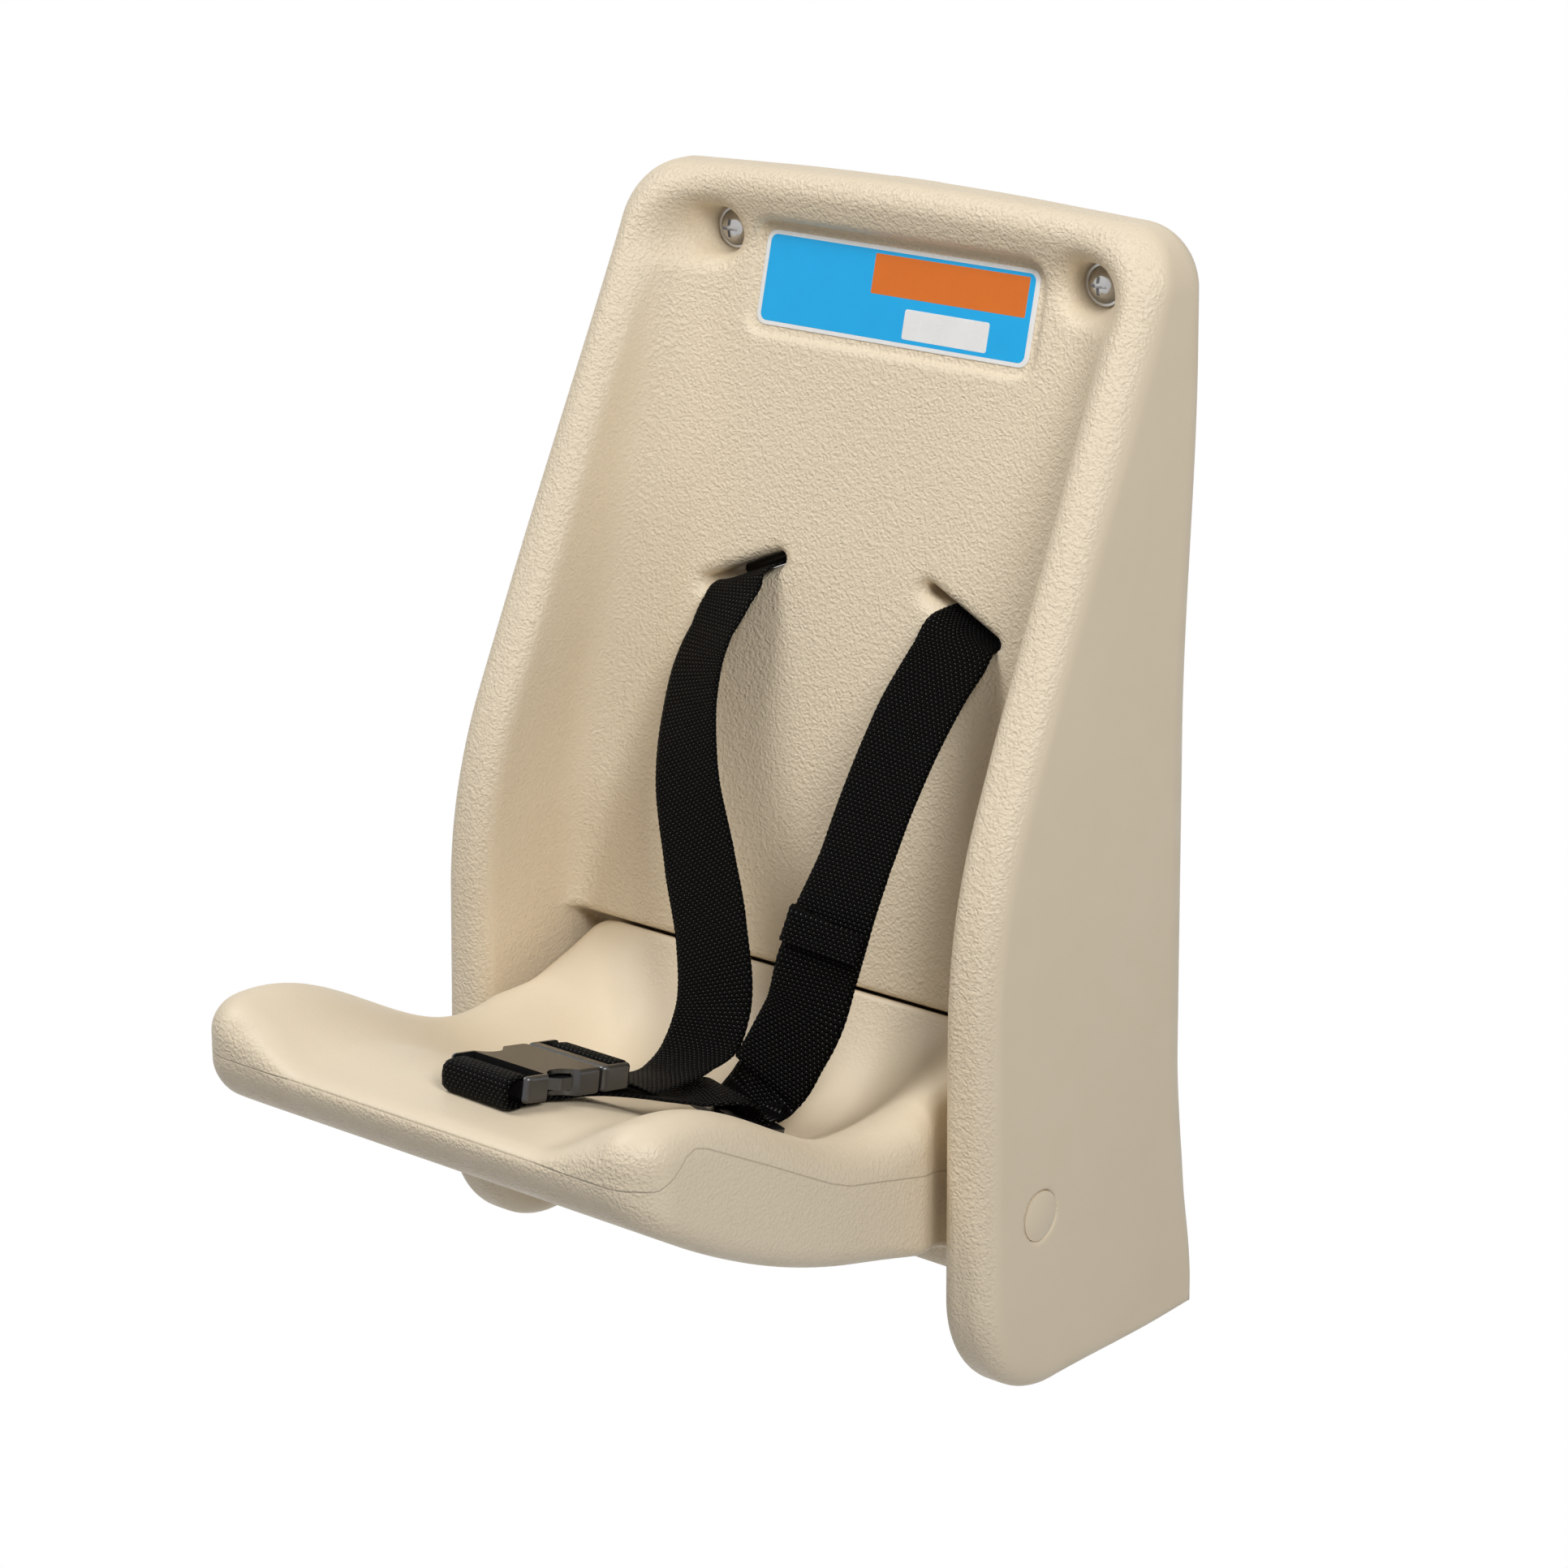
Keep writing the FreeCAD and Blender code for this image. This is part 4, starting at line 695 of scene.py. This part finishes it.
def seat_field(x, depth, height):
    """Saddle-topped seat with a round barrel and a heel behind the pivot."""
    plan = outside(x, depth, seat_plan())
    probe = 0.5
    top = top_height(x, depth)
    tilt_x = (top_height(x + probe, depth) - top) / probe
    tilt_d = (top_height(x, depth + probe) - top) / probe
    over = (height - top) / np.sqrt(1 + tilt_x ** 2 + tilt_d ** 2)
    under = under_height(depth)
    tilt = (under_height(depth + probe) - under) / probe
    below = (under - height) / np.sqrt(1 + tilt ** 2)
    barrel = np.hypot(depth - PIVOT_DEPTH, height - PIVOT_HEIGHT) - BARREL_RADIUS
    far_inside = -60.0
    upper_rear = np.where(depth < PIVOT_DEPTH, barrel, far_inside)
    rear = np.where(height - PIVOT_HEIGHT > 0, upper_rear, HEEL_BACK - depth)
    heel_line = (UNDER_HEIGHT - HEEL_FOOT) / (UNDER_START - HEEL_TURN)
    heel_front = (HEEL_FOOT + heel_line * (depth - HEEL_TURN) - height) * 0.9
    heel = np.where(depth < HEEL_TURN, HEEL_FOOT - height, heel_front)
    floor = np.where(depth < UNDER_START, heel, below)
    edge = 7 + (np.clip(0.5 * (top - under) - 2, 5, 15) - 7) * smooth(depth, 115, 190)
    corner = round_max(plan, rear, REAR_CORNER * smooth(height, *REAR_CORNER_FADE))
    away_from_lip = np.maximum(smooth(depth, 115, 145), smooth(np.abs(x), 100, 113))
    rim = round_max(corner, over, REAR_EDGE + (edge - REAR_EDGE) * away_from_lip)
    lower = 3 + 7 * smooth(depth, 130, 200)
    body = round_max(rim, floor, lower)
    return round_max(body, rear, REAR_EDGE)


def parting_height(depth):
    """Height of the mould's parting line along the seat's sides."""
    return np.interp(depth, [130, 155, 186, 208, 221, 260, 298, 305, 311, 318, 326, 332],
                     [97, 105, 113, 118.5, 124, 145, 165, 167.5, 166, 160, 155.8, 156.5])


def seat_grain(points, normal):
    """Full on the front, half on the sides and fine on the pan."""
    front = smooth(normal[:, 1], 0.3, 0.7)
    outer = smooth(0.8 - normal[:, 2], 0, 0.4)
    return 0.14 + 0.42 * outer + 0.44 * outer * front


seat, seat_points = moulded(
    "seat_skin", seat_field, (-130, 42, 30), (130, 344, 189), 1.8, seat_plastic, seat_grain)
wall = outside(seat_points[:, 0], seat_points[:, 1], seat_plan())
for name, values in (
    ("parting", seat_points[:, 2] - parting_height(seat_points[:, 1])),
    ("inside", np.maximum(-wall - 6, 0)),
):
    layer = seat.data.attributes.new(name, "FLOAT", "POINT")
    layer.data.foreach_set("value", values)
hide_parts("seat_shell")
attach(seat, "seat")


# Webbing straps
WEB_HALF = 19.0
WEB_THICK = 1.4
WEB_STEP = 1.2
WEB_EDGE_ROUND = 0.7
WEFT_TURN = 0.35
WEFT_PITCH = 2.1
GATHER_FADE = (30, 85)
WRAP_GAP = 0.3
TAIL_LIFT = 2.2
TAIL_FIRST = 6
HEM_SKEW = 0.3
BUCKLE_AT = place(13.5, 305.0, 168.2) * 1000
BUCKLE_TURN = (Matrix.Rotation(math.radians(-3), 3, "Z") @ Matrix.Rotation(math.radians(-11), 3, "X")
               @ Matrix.Rotation(math.radians(-1.5), 3, "Y"))
GLIDE_AT = place(42.0, 184.0, 120.5) * 1000
GLIDE_TURN = Matrix.Rotation(math.radians(-18), 3, "Z") @ Matrix.Rotation(math.radians(-14), 3, "X")


def on_piece(path, at, turn):
    """Stations along the middle of a buckle or adjuster from places along and above it."""
    return [(at + turn @ Vector((0, y, z)), turn @ Vector((1, 0, 0))) for y, z in path]


def wrap(start, edge, tall, lead):
    """Path of webbing round a flat bar, from below it, past its edge and back above it."""
    half = tall / 2 + WRAP_GAP + WEB_THICK / 2
    path = [(start, -half)]
    for i in range(-5, 6):
        turn = math.pi / 2 * i / 5
        path.append((edge + lead * math.cos(turn), half * math.sin(turn)))
    return path + [(start, half)]


def stations(rows):
    return [(place(*spot) * 1000, Vector(across)) for spot, across in rows]


def through_slot(side):
    across = (math.cos(SLOT_SLANT), 0, -side * math.sin(SLOT_SLANT))
    x = side * SLOT_X + STRAP_SHIFT * across[0]
    height = SLOT_HEIGHT - STRAP_DROP + STRAP_SHIFT * across[2]
    return stations([((x, d, height), across) for d in (24, 38, 51.5)])


LEFT_RUN = through_slot(-1) + stations([
    ((-58.2, 59.5, 309.3), (0.9, 0.2, 0.38)),
    ((-58.5, 67.5, 302.5), (0.93, 0.0, 0.33)),
    ((-59.8, 76, 290.3), (0.93, -0.21, 0.29)),
    ((-60.8, 82, 279.7), (0.94, -0.21, 0.27)),
    ((-57.3, 94, 259.1), (0.95, -0.16, 0.26)),
    ((-46.6, 109, 235.5), (0.97, -0.06, 0.22)),
    ((-25.2, 126, 203.5), (0.98, 0.06, 0.19)),
    ((-6, 141, 177.6), (0.98, 0.07, 0.19)),
    ((8.3, 158, 149.7), (0.98, 0.18, 0.13)),
    ((10.7, 168, 139.4), (0.97, 0.19, 0.1)),
    ((12.5, 186, 134.5), (1, 0.1, 0.2)),
    ((14.5, 207, 136.8), (1, 0.05, 0.12)),
    ((16, 226, 142), (1, 0.05, -0.05)),
]) + on_piece(wrap(62.4, 56.9, 7.0, -2.2), BUCKLE_AT, BUCKLE_TURN)
RIGHT_HANG = stations([
    ((63.8, 59.5, 307.9), (0.92, -0.03, -0.39)),
    ((66, 72, 299.5), (0.93, 0.02, -0.36)),
    ((65.6, 82, 289.6), (0.97, 0.02, -0.22)),
    ((63.5, 98, 268.3), (1, 0.02, -0.09)),
    ((61, 112, 244.5), (1, 0.03, 0)),
    ((60, 125, 221.7), (0.99, 0.06, 0.08)),
    ((59.6, 141, 197.4), (0.97, 0.22, 0)),
    ((57.5, 147, 179), (0.97, 0.22, -0.05)),
    ((57, 154.5, 160.6), (0.98, 0.17, 0)),
    ((51.9, 160, 145.5), (0.98, 0.15, 0)),
    ((46.3, 165.8, 130.8), (0.98, 0.12, 0)),
    ((41.5, 173.5, 122.2), (0.96, -0.22, -0.1)),
])
RIGHT_RUN = through_slot(1) + RIGHT_HANG + on_piece(
    list(reversed(wrap(13.0, 7.0, 4.4, -2.2)))[1:], GLIDE_AT, GLIDE_TURN)


def lap_run():
    """Up out of the adjuster in a hump, over the pan and in a flat loop round the buckle's front bar."""
    run = on_piece([(3.6, -0.6), (3.0, 3.6), (0.4, 7.6), (-4.5, 10.0), (-10.5, 10.4)], GLIDE_AT, GLIDE_TURN)
    for x, depth, lift, turn in (
        (30.5, 208, 12, -24), (26.5, 219, 10.2, -22), (23.3, 231, 8.6, -18), (20.6, 244, 6.8, -13),
        (18.4, 257, 5, -9), (16.7, 270, 3.2, -6), (15.4, 282, 1.8, -4),
    ):
        angle = math.radians(turn)
        slope = float(pan_height(depth + 0.5) - pan_height(depth - 0.5))
        run.append((place(x, depth, float(pan_height(depth)) + lift) * 1000,
                    Vector((math.cos(angle), math.sin(angle), -math.sin(angle) * slope))))
    for depth, height in (
        (294, 160), (302, 160.5), (308, 160.7), (310.4, 161.3), (311.6, 162.8), (311.9, 165.5),
        (311.7, 168.5), (311, 170.9), (309.3, 172.4), (306.5, 172.9), (303.5, 172.6), (300.6, 171.9),
        (298.6, 169.8), (298.2, 166.5),
    ):
        run.append((place(13.5 + 0.05 * (305 - depth), depth, height) * 1000, BUCKLE_TURN @ Vector((1, 0, 0))))
    return run


def tail_run():
    """The loose end, lying on the front of the right strap, its hem folded forwards and down."""
    spots = []
    for i in range(TAIL_FIRST, len(RIGHT_HANG) - 1):
        along = RIGHT_HANG[i + 1][0] - RIGHT_HANG[i - 1][0]
        normal = along.cross(RIGHT_HANG[i][1]).normalized()
        spots.append((RIGHT_HANG[i][0] + normal * TAIL_LIFT, RIGHT_HANG[i][1], along.normalized(), normal))
    first, across, along, normal = spots[0]
    across = across + along * HEM_SKEW
    hem = [(first + along * reach + normal * rise, across) for reach, rise in
           ((13, 1.7), (8, 1.75), (3, 1.75), (0.4, 1.55), (-0.5, 0.85), (0.2, 0.1))]
    return hem + [(spot, across) for spot, across, along, normal in spots[1:]]


def smooth_path(run, step=WEB_STEP):
    """Places, directions along and across, and length so far, on a smooth curve through stations."""
    spots = [Vector(p) for p, across in run]
    sides = [Vector(a) for p, a in run]
    last = len(spots) - 1
    spans = [(spots[i + 1] - spots[i]).length for i in range(last)]
    slopes = [(spots[i + 1] - spots[i]) / spans[i] for i in range(last)]
    pulls = [slopes[0]]
    for i in range(1, last):
        total = spans[i - 1] + spans[i]
        pulls.append(slopes[i] * (spans[i - 1] / total) + slopes[i - 1] * (spans[i] / total))
    pulls.append(slopes[-1])
    path = []
    for i in range(last):
        steps = max(2, round(spans[i] / step))
        for k in range(0 if i == 0 else 1, steps + 1):
            t = k / steps
            spot = spots[i] * (2 * t ** 3 - 3 * t ** 2 + 1) + spots[i + 1] * (3 * t ** 2 - 2 * t ** 3)
            spot = spot + (pulls[i] * (t ** 3 - 2 * t ** 2 + t) + pulls[i + 1] * (t ** 3 - t ** 2)) * spans[i]
            path.append((spot, sides[i] * (1 - t) + sides[i + 1] * t))
    places = np.array([tuple(p) for p, a in path])
    across = np.array([tuple(a) for p, a in path])
    along = np.gradient(places, axis=0)
    along /= np.linalg.norm(along, axis=1)[:, None]
    across = across - along * (across * along).sum(1)[:, None]
    across /= np.linalg.norm(across, axis=1)[:, None]
    length = np.concatenate([[0], np.cumsum(np.linalg.norm(np.diff(places, axis=0), axis=1))])
    return places, along, across, length


def ribbon(name, run, gather=0, columns=16):
    """Webbing along a run, with rounded edges that show the turns of its weft.

    It starts narrower by gather on one side, where a slot bunches it.
    """
    places, along, across, length = smooth_path(run)
    normal = np.cross(along, across)
    upper = np.linspace(-1, 1, columns + 1)
    thick = WEB_THICK / 2 * np.clip((1 - np.abs(upper)) * WEB_HALF / WEB_EDGE_ROUND, 0, 1) ** 0.5
    ring_u = np.concatenate([upper, upper[::-1][1:-1]])
    ring_n = np.concatenate([thick, -thick[::-1][1:-1]])
    edge = np.abs(ring_u) ** 30
    points = []
    for i in range(len(places)):
        wide = WEB_HALF - WEFT_TURN * edge * (0.5 + 0.5 * math.cos(2 * math.pi * length[i] / WEFT_PITCH))
        wide = wide - np.where(ring_u < 0, gather * (1 - smooth(length[i], *GATHER_FADE)), 0)
        points.append(places[i] + across[i] * (ring_u * wide)[:, None] + normal[i] * ring_n[:, None])
    points = np.concatenate(points) / 1000
    count = len(ring_u)
    faces = []
    turns = []
    for i in range(len(places) - 1):
        for k in range(count):
            n = (k + 1) % count
            faces.append((i * count + k, i * count + n, (i + 1) * count + n, (i + 1) * count + k))
            turns.append(((ring_u[k], length[i]), (ring_u[n], length[i]), (ring_u[n], length[i + 1]),
                          (ring_u[k], length[i + 1])))
    faces.append(tuple(range(count))[::-1])
    turns.append(tuple((u, 0) for u in ring_u[::-1]))
    faces.append(tuple((len(places) - 1) * count + k for k in range(count)))
    turns.append(tuple((u, length[-1]) for u in ring_u))
    piece = mesh_object(name, points, faces, webbing)
    layer = piece.data.uv_layers.new(name="weave")
    flat = [(u * WEB_HALF / 1000, v / 1000) for face in turns for u, v in face]
    layer.data.foreach_set("uv", np.array(flat, dtype=np.float32).ravel())
    return piece


left_strap = ribbon("left_strap", LEFT_RUN, 4.5)
right_strap = ribbon("right_strap", RIGHT_RUN, 4.0)
tail = ribbon("tail", tail_run())
lap = ribbon("lap", lap_run())
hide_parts("shoulder_strap_left")
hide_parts("shoulder_strap_right")
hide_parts("strap_tail")
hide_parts("lap_strap")
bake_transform(left_strap)
for piece in (right_strap, tail):
    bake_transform(piece)
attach(lap, "seat")


# Label: a blank printed plate in its bed
def on_backrest(x, up, out):
    lean = 1 / math.hypot(1, BACKREST_SLOPE)
    return (x, backrest(LABEL_HEIGHT) - up * BACKREST_SLOPE * lean + out * lean,
            LABEL_HEIGHT + up * lean + out * BACKREST_SLOPE * lean)


def plate(points, faces, kinds, kind, middle, half, corner, low, high):
    """Adds a round-cornered plate to lists of points and faces."""
    signs = ((-1, -1), (1, -1), (1, 1), (-1, 1))
    ring = outline([(middle[0] + a * half[0], middle[1] + b * half[1], corner) for a, b in signs], 0.5)
    base = len(points)
    count = len(ring)
    soft = min(0.15, high - low)
    inset = (ring - np.array(middle)) * (1 - 0.2 / min(half)) + np.array(middle)
    for level, line in ((low, ring), (high - soft, ring), (high, inset)):
        points.extend(on_backrest(a, b, level) for a, b in line)
    for level in (0, 1):
        for k in range(count):
            n = (k + 1) % count
            a = base + level * count
            faces.append((a + k, a + n, a + count + n, a + count + k))
            kinds.append(kind)
    faces.append(tuple(base + 2 * count + k for k in range(count)))
    kinds.append(kind)
    faces.append(tuple(base + k for k in reversed(range(count))))
    kinds.append(kind)


label_points = []
label_faces = []
label_kinds = []
bed = -LABEL_SINK
for kind, middle, half, corner, low, high in (
    (0, (0, 0), (LABEL_HALF, LABEL_TALL), LABEL_CORNER, bed, bed + 0.5),
    (1, (0, 0), (LABEL_HALF - 1.8, LABEL_TALL - 1.8), LABEL_CORNER - 1.6, bed + 0.4, bed + 0.56),
    (2, (27.7, 8.8), (41.6, 8.8), 0.6, bed + 0.5, bed + 0.62),
    (0, (29.1, -10.8), (22.9, 6.6), 1.2, bed + 0.5, bed + 0.62),
):
    plate(label_points, label_faces, label_kinds, kind, middle, half, corner, low, high)
label = mesh_object("label", to_frame(np.array(label_points)), label_faces, None, False)
for material in (
    hard_plastic("label_white", (0.78, 0.78, 0.77), (0.82, 0.82, 0.81), 0.22, 0.3),
    hard_plastic("label_blue", (0.0005, 0.38, 0.78), (0.001, 0.40, 0.81), 0.3, 0.38),
    hard_plastic("label_orange", (0.66, 0.145, 0.004), (0.69, 0.155, 0.006), 0.3, 0.38),
):
    label.data.materials.append(material)
label.data.polygons.foreach_set("material_index", label_kinds)
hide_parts("label_plate")
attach(label, "back")


# Other solids keep their meshes and take finer materials
for name in ("upper_wall_screws", "lower_wall_screws"):
    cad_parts[name].data.materials[0] = screw_metal
for name in ("upper_wall_washers", "lower_wall_washers", "pivot_rod", "rod_retainers"):
    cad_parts[name].data.materials[0] = zinc
# The anchors' near-black steel stands in for the shade inside the strap slots.
for name in ("strap_anchor_left", "strap_anchor_right"):
    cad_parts[name].data.materials[0] = slot_shade_steel
for name in ("cheek_bush_left", "cheek_bush_right", "seat_bush_left", "seat_bush_right", "pivot_spacers"):
    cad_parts[name].data.materials[0] = nylon
for name in ("pivot_cap_left", "pivot_cap_right"):
    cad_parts[name].data.materials[0] = shell_plastic
for name in ("buckle_socket", "buckle_plug", "latch_arm_left", "latch_arm_right", "tri_glide"):
    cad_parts[name].data.materials[0] = black_plastic


# Camera at the photograph's place
AZIMUTH = math.radians(38.823)
ELEVATION = math.radians(18.391)
ROLL = math.radians(0.102)
FOCAL_PIXELS = 5200.97
IMAGE_PIXELS = 1932
ACROSS = 61.434
UP = -200.351
DISTANCE = 1978.265
SENSOR_WIDTH = 36

away = Vector((
    math.sin(AZIMUTH) * math.cos(ELEVATION), -math.cos(AZIMUTH) * math.cos(ELEVATION), math.sin(ELEVATION),
))
level = Vector((math.cos(AZIMUTH), math.sin(AZIMUTH), 0))
upright = away.cross(level)
right = level * math.cos(ROLL) + upright * math.sin(ROLL)
up = upright * math.cos(ROLL) - level * math.sin(ROLL)
eye = (away * DISTANCE - right * ACROSS - up * UP) / 1000 - Vector((0, 0, SCREW_HEIGHT / 1000))
lens = bpy.data.cameras.new("camera")
lens.sensor_width = SENSOR_WIDTH
lens.sensor_fit = "HORIZONTAL"
lens.lens = FOCAL_PIXELS / IMAGE_PIXELS * SENSOR_WIDTH
lens.clip_start = 0.05
lens.clip_end = 50
camera = bpy.data.objects.new("camera", lens)
camera.matrix_world = Matrix((
    (right.x, up.x, away.x, eye.x),
    (right.y, up.y, away.y, eye.y),
    (right.z, up.z, away.z, eye.z),
    (0, 0, 0, 1),
))
bpy.context.scene.collection.objects.link(camera)
bpy.context.scene.camera = camera


# Stage and light
MIDDLE = (0, -0.12, -0.2)
AMBIENT = 0.16


def white_stage():
    """Pale floor that shows as plain white to the camera and in reflections."""
    material, nodes, links, shader = new_material("stage_white")
    shader.inputs["Base Color"].default_value = (0.7, 0.7, 0.7, 1)
    shader.inputs["Roughness"].default_value = 0.9
    glow = nodes.new("ShaderNodeEmission")
    glow.inputs["Color"].default_value = (1, 1, 1, 1)
    path = nodes.new("ShaderNodeLightPath")
    seen = nodes.new("ShaderNodeMath")
    seen.operation = "MAXIMUM"
    links.new(path.outputs["Is Camera Ray"], seen.inputs[0])
    links.new(path.outputs["Is Glossy Ray"], seen.inputs[1])
    mix = nodes.new("ShaderNodeMixShader")
    links.new(seen.outputs[0], mix.inputs["Fac"])
    links.new(shader.outputs[0], mix.inputs[1])
    links.new(glow.outputs[0], mix.inputs[2])
    links.new(mix.outputs[0], nodes["Material Output"].inputs["Surface"])
    return material


FLOOR_HEIGHT = -1.0
FLOOR_HALF = 6
corners = [(a * FLOOR_HALF, b * FLOOR_HALF, FLOOR_HEIGHT) for a, b in ((-1, -1), (1, -1), (1, 1), (-1, 1))]
floor = mesh_object("floor", corners, [(0, 1, 2, 3)], white_stage(), False)


def area_light(name, spot, size, power):
    """A square soft light turned to the seat's middle."""
    light = bpy.data.lights.new(name, "AREA")
    light.shape = "SQUARE"
    light.size = size
    light.energy = power
    lamp = bpy.data.objects.new(name, light)
    lamp.location = spot
    lamp.rotation_euler = (Vector(MIDDLE) - Vector(spot)).to_track_quat("-Z", "Y").to_euler()
    bpy.context.scene.collection.objects.link(lamp)


area_light("key", (1.44, -0.98, 1.06), 0.7, 26)
area_light("left", (-0.84, -0.97, 1.52), 1.0, 22.5)

world = bpy.data.worlds.new("world")
world.use_nodes = True
bpy.context.scene.world = world
sky = world.node_tree.nodes["Background"]
sky.inputs["Color"].default_value = (1, 1, 1, 1)
ray = world.node_tree.nodes.new("ShaderNodeLightPath")
level_of = world.node_tree.nodes.new("ShaderNodeMapRange")
level_of.inputs["To Min"].default_value = AMBIENT
level_of.inputs["To Max"].default_value = 1.0
seen = world.node_tree.nodes.new("ShaderNodeMath")
seen.operation = "MAXIMUM"
world.node_tree.links.new(ray.outputs["Is Camera Ray"], seen.inputs[0])
world.node_tree.links.new(ray.outputs["Is Glossy Ray"], seen.inputs[1])
world.node_tree.links.new(seen.outputs[0], level_of.inputs["Value"])
world.node_tree.links.new(level_of.outputs["Result"], sky.inputs["Strength"])
bpy.context.scene.view_settings.view_transform = "Standard"
